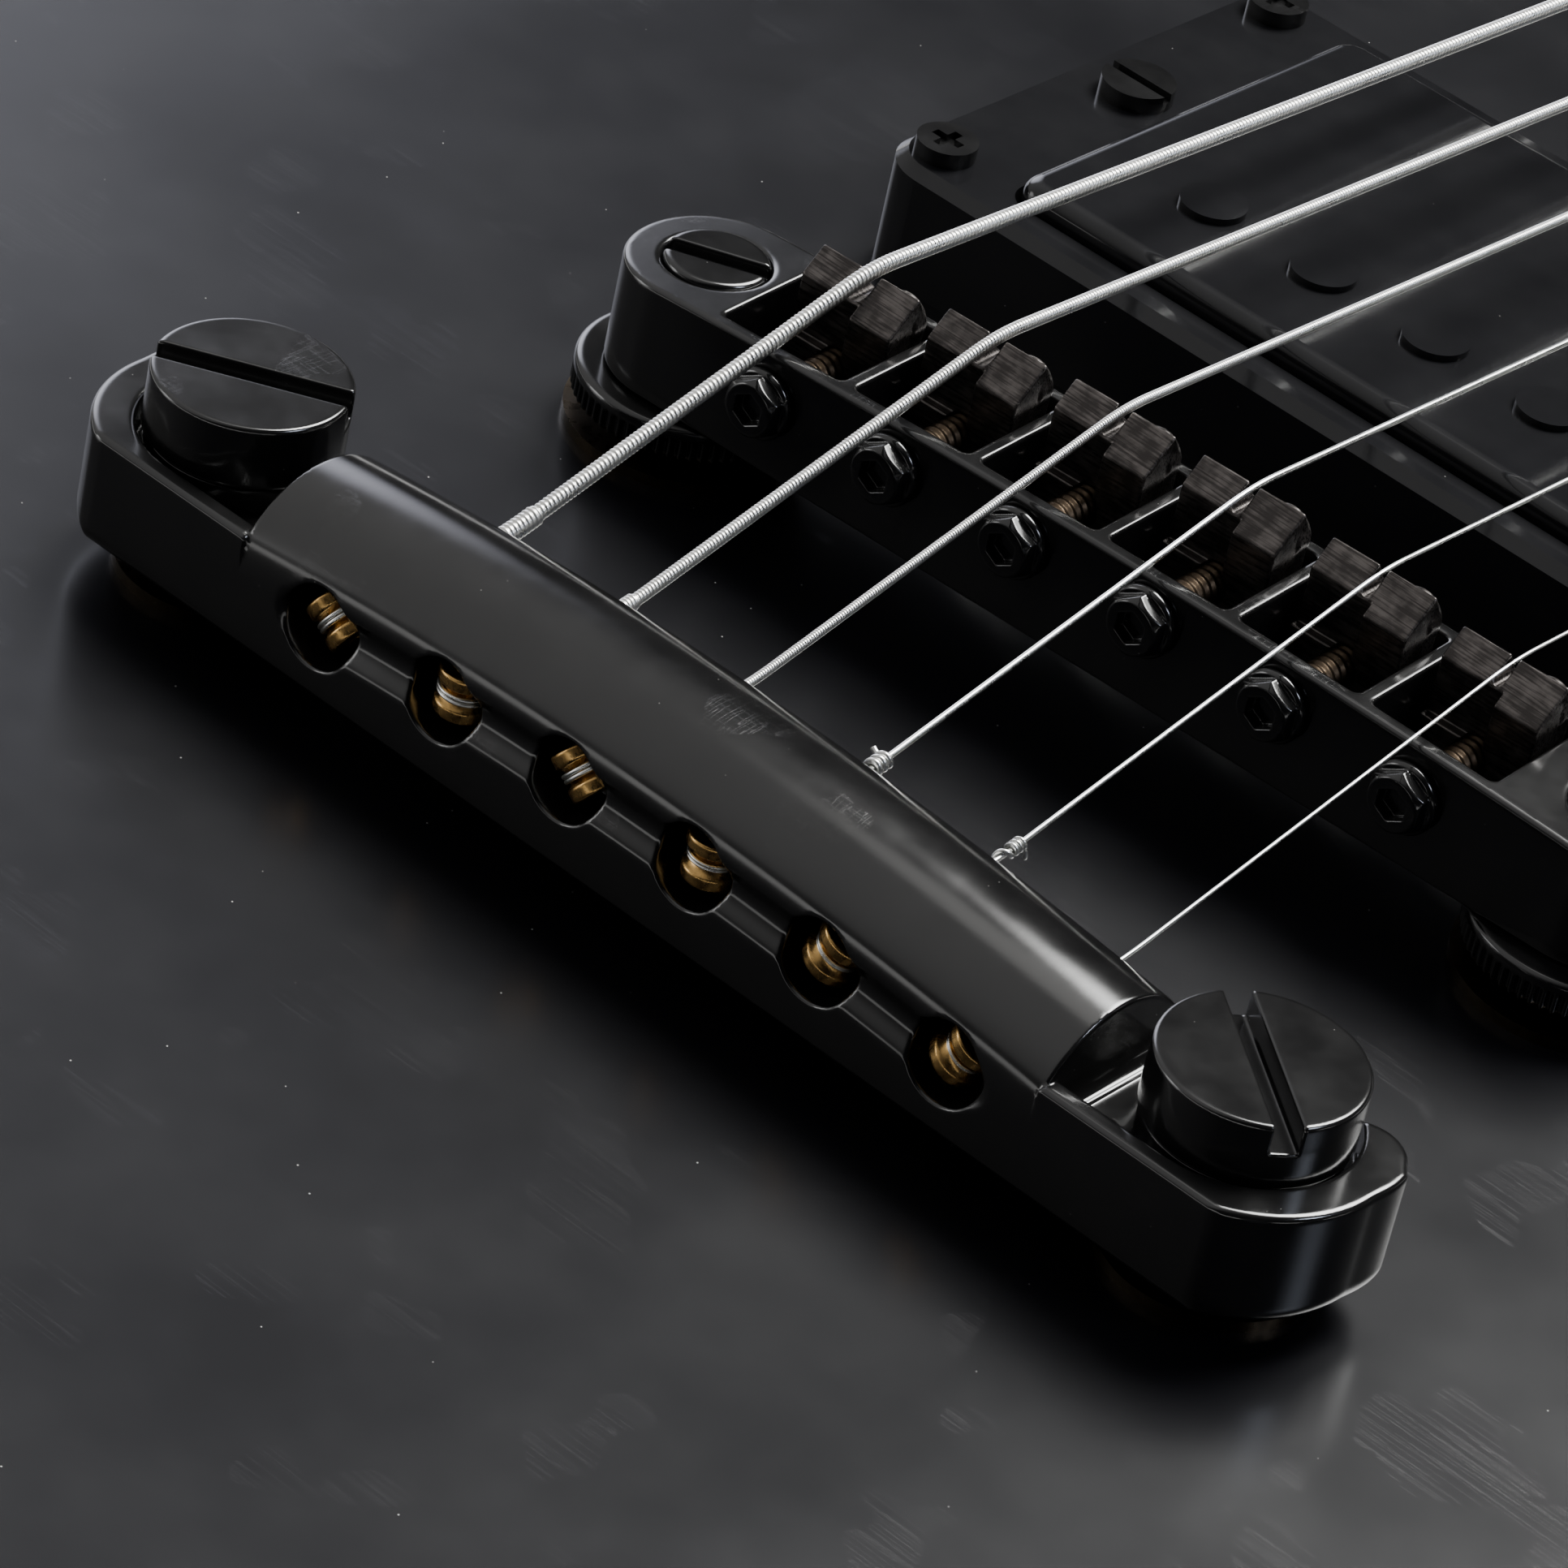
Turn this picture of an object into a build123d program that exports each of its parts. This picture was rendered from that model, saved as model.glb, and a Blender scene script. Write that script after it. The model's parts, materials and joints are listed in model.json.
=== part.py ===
from build123d import *
import math
import os

# Solid-body electric guitar with a stop tailpiece and a six-saddle bridge.
# Guitar frame, in millimetres: X from bass (-) to treble (+), Y from tail to headstock,
# Z out of the body top.  Y = 0 is the saddle line and Z = 0 is the body top.
# Every node is finally laid down as the instrument rests on its back.

# ---- driving dimensions: scale, strings, neck -------------------------------------
SCALE_LENGTH = 628.0
FRET_COUNT = 22
STRING_COUNT = 6
STRING_RADII = (0.584, 0.457, 0.330, 0.216, 0.165, 0.127)
WOUND_COUNT = 3
STRING_ARCH = 305.0
SADDLE_PITCH = 10.45
NUT_PITCH = 7.1
STRING_REST_Z = 17.2
STRING_BEND = 2.4
NECK_ANGLE = 1.4
BOARD_LEVEL = 12.5
BOARD_THICK = 5.5
BOARD_END = 168.0
NUT_WIDTH = 43.0
BOARD_END_WIDTH = 57.0
FRET_WIDTH = 2.4
FRET_HEIGHT = 1.1
NUT_LENGTH = 5.0
NUT_RISE = 1.6
NECK_DEPTH = 16.0
TENON_BOTTOM = -26.0
TENON_START = 166.0
TENON_WIDTH = 38.0
MARKER_FRETS = (3, 5, 7, 9, 15, 17, 19, 21)
TRUSS_RADIUS = 3.0
TRUSS_Z = -BOARD_THICK - 5.0

# ---- driving dimensions: headstock and tuners -------------------------------------
HEAD_ANGLE = 14.0
HEAD_THICK = 14.0
HEAD_LENGTH = 168.0
TUNER_Y = (42.0, 84.0, 126.0)
TUNER_X = (25.0, 28.5, 32.0)
POST_RADIUS = 3.0
POST_HEIGHT = 17.0
WRAP_HEIGHT = 8.0
WRAP_GAP = 0.2
HOUSING = (15.0, 22.0, 11.0)
RUNNING_CLEARANCE = 0.05
TUNER_BUSH_RADIUS = 4.9
WORM_RADIUS = 2.2
WORM_Y = -7.0
WORM_Z = -6.0
BUTTON_X = (46.0, 52.0, 56.0)

# ---- driving dimensions: body ------------------------------------------------------
BODY_THICK = 44.0
BODY_ROUND = 7.0
TAIL_END = -150.0
TREBLE_EDGE = ((70, -138), (129, -100), (160, -40), (150, 25), (128, 80), (126, 130), (141, 180),
               (143, 228), (124, 252), (98, 241), (70, 213))
BASS_EDGE = ((-70, -138), (-129, -100), (-160, -40), (-150, 25), (-130, 80), (-130, 135), (-150, 195),
             (-157, 250), (-140, 281), (-111, 273), (-78, 238))
TREBLE_JOINT = (28.0, 205.0)
BASS_JOINT = (-28.0, 225.0)

# ---- driving dimensions: tailpiece -------------------------------------------------
TAILPIECE_Y = -42.5
STUD_SPACING = 82.5
TAIL_PITCH = 10.29
TAIL_ARCH = 270.0
DOME_CENTRE = (-2.0, 8.4)
DOME_RADIUS = 7.3
BAR_HALF = 32.7
BAR_BOTTOM = 2.6
EAR_TOP = 10.6
EAR_BOTTOM = 2.3
EAR_REAR = -8.5
BALL_HOLE_Z = 9.0
BALL_HOLE_RADIUS = 2.78
BALL_Y = -6.0
BALL_LEANS = (-58, 0, -52, 0, 25, 33)
BALL_RADIUS = 1.9
CAP_RADIUS = 6.47
CAP_TOP = 14.6
CAP_SLOT_TURNS = (31.0, -37.0)
POCKET_FLOOR = 8.2
STUD_NECK_RADIUS = 4.0
FLANGE_THICK = 0.8

# ---- driving dimensions: bridge ----------------------------------------------------
BRIDGE_SLANT = 2.25
BRIDGE_Y = -3.0
BRIDGE_SHIFT = 0.8
BRIDGE_HALF_LENGTH = 43.0
BRIDGE_END_RADIUS = 6.1
BRIDGE_HALF_WIDTH = 6.2
BRIDGE_BOTTOM = 4.7
BRIDGE_TOP = 13.9
BRIDGE_ARCH = 700.0
POST_SPACING = 73.8
POCKET_ENDS = (-31.4, 31.0)
REAR_WALL = 1.7
FRONT_WALL = 1.2
SADDLE_WIDTH = 8.2
SADDLE_DEPTH = 3.9
SADDLE_RIDGE_Y = 3.0
SCREW_Z = 10.9
SCREW_RADIUS = 1.25
SCREW_TIP_RADIUS = 0.8
NOTCH_ROOM = 2.1
NOTCH_SIDE_ROOM = 0.2
BRIDGE_POST_RADIUS = 4.0
POST_HEAD_RADIUS = 3.6
WHEEL_RADIUS = 8.0
BRIDGE_DROP = 1.2

# ---- driving dimensions: pickups and controls --------------------------------------
RING_LENGTH = 89.0
RING_WIDTH = 44.0
BRIDGE_PICKUP_Y = 44.0
NECK_PICKUP_Y = 142.0
PICKUP_LENGTH = 69.5
PICKUP_WIDTH = 37.5
PICKUPS = {"bridge_pickup": (BRIDGE_PICKUP_Y, 9.0), "neck_pickup": (NECK_PICKUP_Y, 5.0)}
LEG_X = 39.0
PICKUP_STAND = 1.6
PICKUP_CAVITY_DEPTH = 22.0
KNOB_PLACES = {"bridge_volume_knob": (88.0, -12.0), "neck_volume_knob": (112.0, -44.0),
               "tone_knob": (86.0, -76.0)}
KNOB_BARREL = 9.6
KNOB_TOP = 18.0
SWITCH_PLACE = (-104.0, 172.0)
TOP_SKIN = 7.0
COVER_THICK = 2.0
ROOM_MARGIN = 17.0
COVER_MARGIN = 25.0
JACK_Y = -38.0
JACK_RADIUS = 3.25
JACK_FACE_X = 156.0
JACK_ROOM_RADIUS = 11.0
POT_SHAFT = 3.0
LEVER_PIVOT_Z = -5.0

string_numbers = range(STRING_COUNT)


def spread(index, pitch):
    """X of a string when the six are spaced evenly at this pitch."""
    return (index - (STRING_COUNT - 1) / 2) * pitch


def arch_drop(x, radius):
    """How far an arch of this radius has fallen at a distance x from its crown."""
    return radius - math.sqrt(radius * radius - x * x)


def rod(radius, low, high, x=0.0, y=0.0):
    return Pos(x, y, (low + high) / 2) * Cylinder(radius, high - low)


def block(x_range, y_range, z_range):
    sizes = [high - low for low, high in (x_range, y_range, z_range)]
    centre = [(high + low) / 2 for low, high in (x_range, y_range, z_range)]
    return Pos(*centre) * Box(*sizes)


def rod_along_y(radius, start, end, x, z):
    return Pos(x, (start + end) / 2, z) * Rot(90, 0, 0) * Cylinder(radius, end - start)


def rod_along_x(radius, start, end, y, z):
    return Pos((start + end) / 2, y, z) * Rot(0, 90, 0) * Cylinder(radius, end - start)


def rounded_plate(length, width, corner, low, high):
    face = RectangleRounded(length, width, corner)
    return Pos(0, 0, low) * extrude(face, high - low)


def solids_of(*shapes):
    """The separate solids of several shapes, kept apart in one compound."""
    return Compound([solid for shape in shapes for solid in shape.solids()])


def union(shapes):
    """One shape fused from a list."""
    first, *rest = shapes
    return first.fuse(*rest) if rest else first


NECK = Pos(0, 0, BOARD_LEVEL) * Rot(-NECK_ANGLE, 0, 0)
HEAD = NECK * Pos(0, SCALE_LENGTH + NUT_LENGTH, -BOARD_THICK) * Rot(-HEAD_ANGLE, 0, 0)
BRIDGE = Pos(0, BRIDGE_Y, 0) * Rot(0, 0, BRIDGE_SLANT)
TAIL = Pos(0, TAILPIECE_Y, 0)


# ---- neck, fingerboard, frets ------------------------------------------------------
def board_width(y):
    """Width of the fingerboard at a distance y from the saddle line."""
    share = (SCALE_LENGTH - y) / (SCALE_LENGTH - BOARD_END)
    return NUT_WIDTH + (BOARD_END_WIDTH - NUT_WIDTH) * share


def fret_y(number):
    return SCALE_LENGTH * 2 ** (-number / 12)


def board_crown():
    """The big cylinder whose surface is the crowned playing face."""
    return Pos(0, SCALE_LENGTH / 2, -STRING_ARCH) * Rot(90, 0, 0) * Cylinder(STRING_ARCH, SCALE_LENGTH * 1.2)


def tapered_slab(start, end, low, high, inset=0.0):
    corners = []
    for y, side in ((start, -1), (start, 1), (end, 1), (end, -1)):
        corners.append((side * (board_width(y) / 2 - inset), y))
    return Pos(0, 0, low) * extrude(make_face(Polyline(*corners, close=True)), high - low)


def marker_discs():
    places = [(0.0, (fret_y(n) + fret_y(n - 1)) / 2) for n in MARKER_FRETS]
    octave = (fret_y(12) + fret_y(11)) / 2
    places += [(-10.5, octave), (10.5, octave)]
    return [rod(3.0, -1.8, 1.0, x, y) for x, y in places]


def make_fingerboard():
    board = tapered_slab(BOARD_END, SCALE_LENGTH, -BOARD_THICK, 1.0) & board_crown()
    return NECK * (board - union(marker_discs()))


def make_fret_markers():
    return NECK * solids_of(*[disc & board_crown() for disc in marker_discs()])


def make_frets():
    """Crowned wire laid along the fingerboard's arch."""
    wires = []
    for number in range(1, FRET_COUNT + 1):
        y = fret_y(number)
        half_turn = math.degrees(math.asin((board_width(y) / 2 - 0.6) / STRING_ARCH))
        crown = ThreePointArc((y - FRET_WIDTH / 2, 0), (y, FRET_HEIGHT), (y + FRET_WIDTH / 2, 0))
        section = Plane.YZ * make_face([crown, Line(crown @ 1, crown @ 0)])
        axis = Axis((0, 0, -STRING_ARCH), (0, 1, 0))
        wire = revolve(section.rotate(axis, -half_turn), axis, 2 * half_turn)
        wires.append(wire)
    return NECK * solids_of(*wires)


def neck_section(y, half_width, depth):
    """D-shaped section of the neck's back, flat side up under the fingerboard."""
    plane = Plane(origin=(0, y, -BOARD_THICK), x_dir=(1, 0, 0), z_dir=(0, -1, 0))
    back = EllipticalCenterArc((0, 0), half_width, depth, start_angle=180, arc_size=180)
    return plane * make_face([back, Line(back @ 1, back @ 0)])


def head_outline():
    """Plain symmetric headstock: flared sides and a shallow rounded top."""
    foot = NUT_WIDTH / 2
    flare = ((foot, 0), (32, 30), (40, 75), (45, 130), (44, HEAD_LENGTH - 8))
    side = Spline(*flare, tangents=[(0.5, 1), (-0.4, 1)])
    top = ThreePointArc(side @ 1, (0, HEAD_LENGTH), (-44, HEAD_LENGTH - 8))
    return make_face([side, top, mirror(side, Plane.YZ), Line((-foot, 0), (foot, 0))])


def truss_pocket():
    """Access pocket for the truss rod's nut, in headstock coordinates."""
    return block((-4.5, 4.5), (-2, 24), (-7, 1))


def make_neck():
    shaft = loft([neck_section(SCALE_LENGTH + NUT_LENGTH, NUT_WIDTH / 2, NECK_DEPTH - 1),
                  neck_section(TREBLE_JOINT[1] + 25, board_width(230) / 2, NECK_DEPTH + 2)])
    heel_depth = BOARD_LEVEL - TENON_BOTTOM
    heel = tapered_slab(TREBLE_JOINT[1] - 1, TREBLE_JOINT[1] + 45, -heel_depth + 8, -BOARD_THICK, 0.4)
    heel = fillet(heel.edges().filter_by(Axis.X).group_by(Axis.Z)[0].sort_by(Axis.Y)[-1:], 14)
    tenon = block((-TENON_WIDTH / 2, TENON_WIDTH / 2), (TENON_START, TREBLE_JOINT[1]),
                  (-heel_depth + 8, -BOARD_THICK - 4))
    shelf = tapered_slab(BOARD_END, TREBLE_JOINT[1], -BOARD_THICK - 4.2, -BOARD_THICK, 0.4)
    head = Pos(0, 0, -HEAD_THICK) * extrude(head_outline(), HEAD_THICK)
    head = head - truss_pocket()
    for place in tuner_places():
        head = head - rod(TUNER_BUSH_RADIUS, -HEAD_THICK - 1, 1, *place)
    head = head.moved(Location(NECK.inverse() * HEAD))
    neck = union([shaft, heel, tenon, shelf, head])
    neck = neck - rod_along_y(TRUSS_RADIUS, TENON_START - 1, SCALE_LENGTH + 26, 0, TRUSS_Z)
    return NECK * neck


def make_nut():
    top_z = NUT_RISE + 0.9
    blank = block((-NUT_WIDTH / 2, NUT_WIDTH / 2), (SCALE_LENGTH, SCALE_LENGTH + NUT_LENGTH), (-BOARD_THICK, 4))
    crown = Pos(0, SCALE_LENGTH, -STRING_ARCH + top_z) * Rot(90, 0, 0) * Cylinder(STRING_ARCH, 30)
    nut = blank & crown
    for index in string_numbers:
        x = spread(index, NUT_PITCH)
        floor = NUT_RISE - arch_drop(x, STRING_ARCH) - 0.03
        width = STRING_RADII[index] + 0.04
        nut = nut - block((x - width, x + width), (SCALE_LENGTH - 1, SCALE_LENGTH + 6), (floor, 6))
    return NECK * nut


def make_truss_rod():
    bar = rod_along_y(TRUSS_RADIUS, TENON_START, SCALE_LENGTH + 8, 0, TRUSS_Z)
    nut = Pos(0, SCALE_LENGTH + 12, TRUSS_Z) * Rot(90, 0, 0) * extrude(RegularPolygon(2.9, 6), 8)
    return NECK * (bar + nut)


# ---- body --------------------------------------------------------------------------
def body_outline():
    return make_face(Spline(TREBLE_JOINT, *reversed(TREBLE_EDGE), (0, TAIL_END), *BASS_EDGE, BASS_JOINT,
                            periodic=True))


def control_prism(margin, height):
    """Rounded triangle round the three potentiometers, standing on the back."""
    circles = [Pos(x, y) * Edge.make_circle(margin) for x, y in KNOB_PLACES.values()]
    return Pos(0, 0, -BODY_THICK) * extrude(make_face(make_hull(circles)), height)


def control_room():
    return control_prism(ROOM_MARGIN, BODY_THICK - TOP_SKIN) + control_prism(COVER_MARGIN, COVER_THICK)


def pickup_cavities():
    cuts = []
    for y in (BRIDGE_PICKUP_Y, NECK_PICKUP_Y):
        main = Pos(0, y, 0) * rounded_plate(PICKUP_LENGTH + 2, PICKUP_WIDTH + 2, 3, -PICKUP_CAVITY_DEPTH, 1)
        legs = Pos(0, y, 0) * rounded_plate(84, 14, 3, -PICKUP_CAVITY_DEPTH - 8, 1)
        cuts += [main, legs]
    return cuts


def switch_room():
    x, y = SWITCH_PLACE
    return rod(19, -BODY_THICK - 1, -TOP_SKIN, x, y)


def wire_channels():
    """Drilled channels that join the cavities."""
    channel = 4.0
    link = rod_along_y(channel, BRIDGE_PICKUP_Y, NECK_PICKUP_Y, 22, -16)
    to_controls = Pos(58, -2, -20) * Rot(0, 0, -48) * Rot(90, 0, 0) * Cylinder(channel, 84)
    to_switch = Pos(-66, 158, -18) * Rot(0, 0, 71) * Rot(90, 0, 0) * Cylinder(channel, 60)
    to_jack = rod_along_x(JACK_ROOM_RADIUS, 124, JACK_FACE_X, JACK_Y, -BODY_THICK / 2)
    return [link, to_controls, to_switch, to_jack]


def make_body_halves(inserts):
    """The slab is two boards glued along the centre line."""
    blank = Pos(0, 0, -BODY_THICK) * extrude(body_outline(), BODY_THICK)
    rims = blank.edges().group_by(Axis.Z)
    blank = fillet(rims[0] + rims[-1], BODY_ROUND)
    body = blank - union(inserts)
    beyond = SCALE_LENGTH
    halves = {"body_bass_half": (-beyond, 0), "body_treble_half": (0, beyond)}
    whole = (-beyond, beyond)
    return {name: body & block(x_range, whole, whole) for name, x_range in halves.items()}


# ---- tailpiece ---------------------------------------------------------------------
def bar_profile():
    """Section of the bar: domed top, a channel over the rear lip, a lower front lip."""
    cy, cz = DOME_CENTRE
    rear_z = cz + 2.0
    front_z = cz + 0.6
    rear_y = cy - math.sqrt(DOME_RADIUS ** 2 - (rear_z - cz) ** 2)
    front_y = cy + math.sqrt(DOME_RADIUS ** 2 - (front_z - cz) ** 2)
    dome = ThreePointArc((rear_y, rear_z), (cy, cz + DOME_RADIUS), (front_y, front_z))
    channel = ThreePointArc((rear_y, rear_z), (rear_y + 1.5, rear_z - 1.3), (-8.67, 8.0))
    front_lip = ThreePointArc((front_y, front_z), (front_y + 0.5, front_z - 0.9), (7.4, 7.6))
    outline = [dome, channel, Line((-8.67, 8.0), (-8.3, 4.6)),
               ThreePointArc((-8.3, 4.6), (-7.6, 3.2), (-6.2, BAR_BOTTOM)),
               Line((-6.2, BAR_BOTTOM), (5.4, BAR_BOTTOM)),
               ThreePointArc((5.4, BAR_BOTTOM), (6.8, 3.2), (7.4, 4.6)),
               Line((7.4, 4.6), (7.4, 7.6)), front_lip]
    return Plane.YZ * make_face(outline)


def arched_bar():
    axis = Axis((0, 0, BAR_BOTTOM - TAIL_ARCH), (0, 1, 0))
    half_turn = 8.5
    swept = revolve(bar_profile().rotate(axis, -half_turn), axis, 2 * half_turn)
    return swept & block((-BAR_HALF, BAR_HALF), (-20, 20), (EAR_BOTTOM, 30))


def ear(side):
    """Flat end lug with a U-slot open toward the neck and a rounded hook around the stud."""
    stud_x = STUD_SPACING / 2
    inner, outer, tip_y = BAR_HALF - 1.5, 50.0, 3.7
    finger = (outer - stud_x - STUD_NECK_RADIUS - 0.15) / 2
    corner = 7.0
    plan = Polyline((inner, EAR_REAR), (outer - corner, EAR_REAR))
    bend = ThreePointArc((outer - corner, EAR_REAR), (outer - 2.2, EAR_REAR + 2.4), (outer, EAR_REAR + corner))
    rest = Polyline((outer, EAR_REAR + corner), (outer, tip_y), (inner, tip_y + 1.5), (inner, EAR_REAR))
    lug = Pos(0, 0, EAR_BOTTOM) * extrude(make_face([plan, bend, rest]), EAR_TOP - EAR_BOTTOM)
    slot = STUD_NECK_RADIUS + 0.15
    lug = lug - rod(slot, 0, 20, stud_x, 0) - block((stud_x - slot, stud_x + slot), (0, 20), (0, 20))
    pocket = CAP_RADIUS + 0.9
    lug = lug - rod(pocket, POCKET_FLOOR, 20, stud_x, 0)
    lug = lug - block((stud_x - pocket, stud_x + pocket), (0, 20), (POCKET_FLOOR, 20))
    hook = extrude(SlotCenterToCenter(4, 2 * finger), EAR_TOP - EAR_BOTTOM)
    hook = Pos(outer - finger, tip_y - 2, EAR_BOTTOM) * Rot(0, 0, 90) * hook
    lug = lug + (hook - rod(pocket, POCKET_FLOOR, 20, stud_x, 0))
    return lug if side > 0 else mirror(lug, Plane.YZ)


def make_tailpiece():
    bar = arched_bar() + ear(1) + ear(-1)
    for index in string_numbers:
        x = spread(index, TAIL_PITCH)
        z = BALL_HOLE_Z - arch_drop(x, TAIL_ARCH)
        bar = bar - rod_along_y(BALL_HOLE_RADIUS, -12, BALL_Y + BALL_RADIUS, x, z)
        bar = bar - rod_along_y(1.3, BALL_Y, 12, x, z)
    return TAIL * bar


def make_ball_ends():
    balls = []
    for index in string_numbers:
        x = spread(index, TAIL_PITCH)
        z = BALL_HOLE_Z - arch_drop(x, TAIL_ARCH)
        spool = Cylinder(BALL_RADIUS, 3.2) - Torus(BALL_RADIUS + 0.25, 0.75)
        spool = Rot(0, BALL_LEANS[index], 0) * (spool - Cylinder(0.6, 5))
        balls.append(Pos(x, BALL_Y, z) * spool)
    return TAIL * solids_of(*balls)


def stud_pair(shape):
    half = STUD_SPACING / 2
    return TAIL * solids_of(Pos(-half, 0, 0) * shape, Pos(half, 0, 0) * shape)


def make_tailpiece_studs():
    """Threaded stud with a flange under the lug and a threaded tip for the cap."""
    stud = rod(3.95, -24, 1.4) + rod(6.6, 1.4, EAR_BOTTOM) + rod(STUD_NECK_RADIUS, EAR_BOTTOM, POCKET_FLOOR)
    stud = stud + rod(3.0, POCKET_FLOOR, CAP_TOP - 2.4)
    return stud_pair(stud)


def make_tailpiece_caps():
    """Slotted locking cap: a chamfered disc over a slightly smaller collar."""
    disc = rod(CAP_RADIUS, POCKET_FLOOR + 2.2, CAP_TOP)
    disc = chamfer(disc.edges().group_by(Axis.Z)[-1], 0.35)
    collar = rod(CAP_RADIUS - 0.3, POCKET_FLOOR, POCKET_FLOOR + 2.2)
    cap = disc + collar - rod(3.0, 0, CAP_TOP - 2.4)
    slot = Box(20, 1.75, 1.9 * 2)
    caps = []
    for side, turn in zip((-1, 1), CAP_SLOT_TURNS):
        slotted = cap - Pos(0, 0, CAP_TOP) * Rot(0, 0, turn) * slot
        caps.append(Pos(side * STUD_SPACING / 2, 0, 0) * slotted)
    return TAIL * solids_of(*caps)


def bushing(outer, bore, depth, flange):
    return rod(outer, -depth, 0) + rod(flange, 0, FLANGE_THICK) - rod(bore, -depth - 1, 2)


def tail_bushing_envelope():
    return stud_pair(rod(6.0, -26, 0.1))


def make_stud_bushings():
    tail = stud_pair(bushing(6.0, 3.95, 26, 7.0))
    post = bushing(5.5, BRIDGE_POST_RADIUS + RUNNING_CLEARANCE, 26, 8.2)
    posts = [BRIDGE * Pos(post_x(side), 0, 0) * post for side in (-1, 1)]
    return solids_of(tail, *posts)


# ---- bridge ------------------------------------------------------------------------
def make_bridge_frame():
    """Die-cast frame with a rear wall for the screws and one pocket per saddle."""
    length, width = BRIDGE_HALF_LENGTH, BRIDGE_HALF_WIDTH
    plan = RectangleRounded(2 * length, 2 * width, BRIDGE_END_RADIUS)
    frame = Pos(BRIDGE_SHIFT, 0, BRIDGE_BOTTOM) * extrude(plan, BRIDGE_TOP - BRIDGE_BOTTOM)
    crown = Pos(0, 0, BRIDGE_TOP - BRIDGE_ARCH) * Rot(90, 0, 0) * Cylinder(BRIDGE_ARCH, 40)
    frame = frame & crown
    inside = (-width + REAR_WALL, width - FRONT_WALL)
    frame = frame - block(POCKET_ENDS, inside, (BRIDGE_BOTTOM + 1.6, 20))
    ribs = []
    for index in range(STRING_COUNT - 1):
        x = spread(index + 0.5, SADDLE_PITCH)
        ribs.append(block((x - 0.5, x + 0.5), inside, (BRIDGE_BOTTOM + 1.6, BRIDGE_TOP - 2.6)))
    frame = union([frame] + ribs)
    for index in string_numbers:
        x = spread(index, SADDLE_PITCH)
        z = saddle_screw_z(index)
        frame = frame - rod_along_y(SCREW_RADIUS + RUNNING_CLEARANCE, -width - 1, inside[0] + 1, x, z)
        frame = frame - rod_along_y(SCREW_TIP_RADIUS + RUNNING_CLEARANCE, inside[1] - 1, width - 0.4, x, z)
    for side in (-1, 1):
        frame = frame - rod(POST_HEAD_RADIUS + RUNNING_CLEARANCE, 0, 30, post_x(side), 0)
    return BRIDGE * frame


def post_x(side):
    """Place of a bridge post along the bridge, -1 at the bass end and 1 at the treble end."""
    return BRIDGE_SHIFT + side * POST_SPACING / 2


def saddle_screw_z(index):
    return SCREW_Z - arch_drop(spread(index, SADDLE_PITCH), STRING_ARCH)


def ridge_z(index):
    return STRING_REST_Z - arch_drop(spread(index, SADDLE_PITCH), STRING_ARCH)


def make_saddle(index):
    """Wedge saddle: sloping rear facet up to a notched ridge, steep front."""
    ridge = ridge_z(index) + 0.25
    low = BRIDGE_BOTTOM + 1.9
    front, rear = SADDLE_RIDGE_Y + 1.3, SADDLE_RIDGE_Y - SADDLE_DEPTH + 1.3
    face = make_face(Polyline((rear, low), (front, low), (front, ridge - 1.9), (SADDLE_RIDGE_Y + 0.15, ridge),
                              (SADDLE_RIDGE_Y - 0.15, ridge), (rear, ridge - 2.1), close=True))
    x = spread(index, SADDLE_PITCH)
    body = Pos(x, 0, 0) * extrude(Plane.YZ * face, SADDLE_WIDTH / 2, both=True)
    notch = STRING_RADII[index] + NOTCH_SIDE_ROOM
    body = body - block((x - notch, x + notch), (rear - 1, front + 1), (ridge_z(index) - 0.02 - NOTCH_ROOM, 30))
    body = body - rod_along_y(SCREW_RADIUS + RUNNING_CLEARANCE, rear - 1, front + 1, x, saddle_screw_z(index))
    return BRIDGE * body


def make_saddle_screw(index):
    """Socket-head screw: flanged hex head behind the wall, plain tip in the front wall."""
    wall = -BRIDGE_HALF_WIDTH
    x, z = spread(index, SADDLE_PITCH), saddle_screw_z(index)
    washer = rod_along_y(2.45, wall - 0.45, wall - 0.02, x, z)
    head = Pos(x, wall - 0.45, z) * Rot(90, 0, 0) * extrude(RegularPolygon(2.25, 6), 1.2)
    socket = Pos(x, wall - 2, z) * Rot(-90, 0, 0) * extrude(RegularPolygon(1.05, 6), 1.2)
    shank = rod_along_y(SCREW_RADIUS, wall - 0.1, BRIDGE_HALF_WIDTH - FRONT_WALL - 0.1, x, z)
    tip = rod_along_y(SCREW_TIP_RADIUS, 0, BRIDGE_HALF_WIDTH - 0.5, x, z)
    return BRIDGE * union([washer, head - socket, shank, tip])


def make_bridge_post(side):
    """Post turned in one piece: thread, knurled wheel under the frame, slotted head."""
    thread = rod(BRIDGE_POST_RADIUS, -22, BRIDGE_BOTTOM - 0.05)
    wheel = rod(WHEEL_RADIUS, FLANGE_THICK + BRIDGE_DROP + 0.1, BRIDGE_BOTTOM - 0.05)
    wheel = chamfer(wheel.edges(), 0.3)
    slot = Pos(0, 0, BRIDGE_TOP) * Rot(0, 0, 25) * Box(12, 1.4, 3.2)
    head = rod(POST_HEAD_RADIUS, 0, BRIDGE_TOP - 0.6) - slot
    return BRIDGE * Pos(post_x(side), 0, 0) * union([thread, wheel, head])


# ---- strings -----------------------------------------------------------------------
def tuner_places():
    """Post positions on the headstock, in string order from bass to treble."""
    bass = [(-x, y) for x, y in zip(TUNER_X, TUNER_Y)]
    treble = [(x, y) for x, y in zip(TUNER_X, TUNER_Y)]
    return bass + list(reversed(treble))


def point_in(location, x, y, z):
    return (location * Pos(x, y, z)).position


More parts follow.
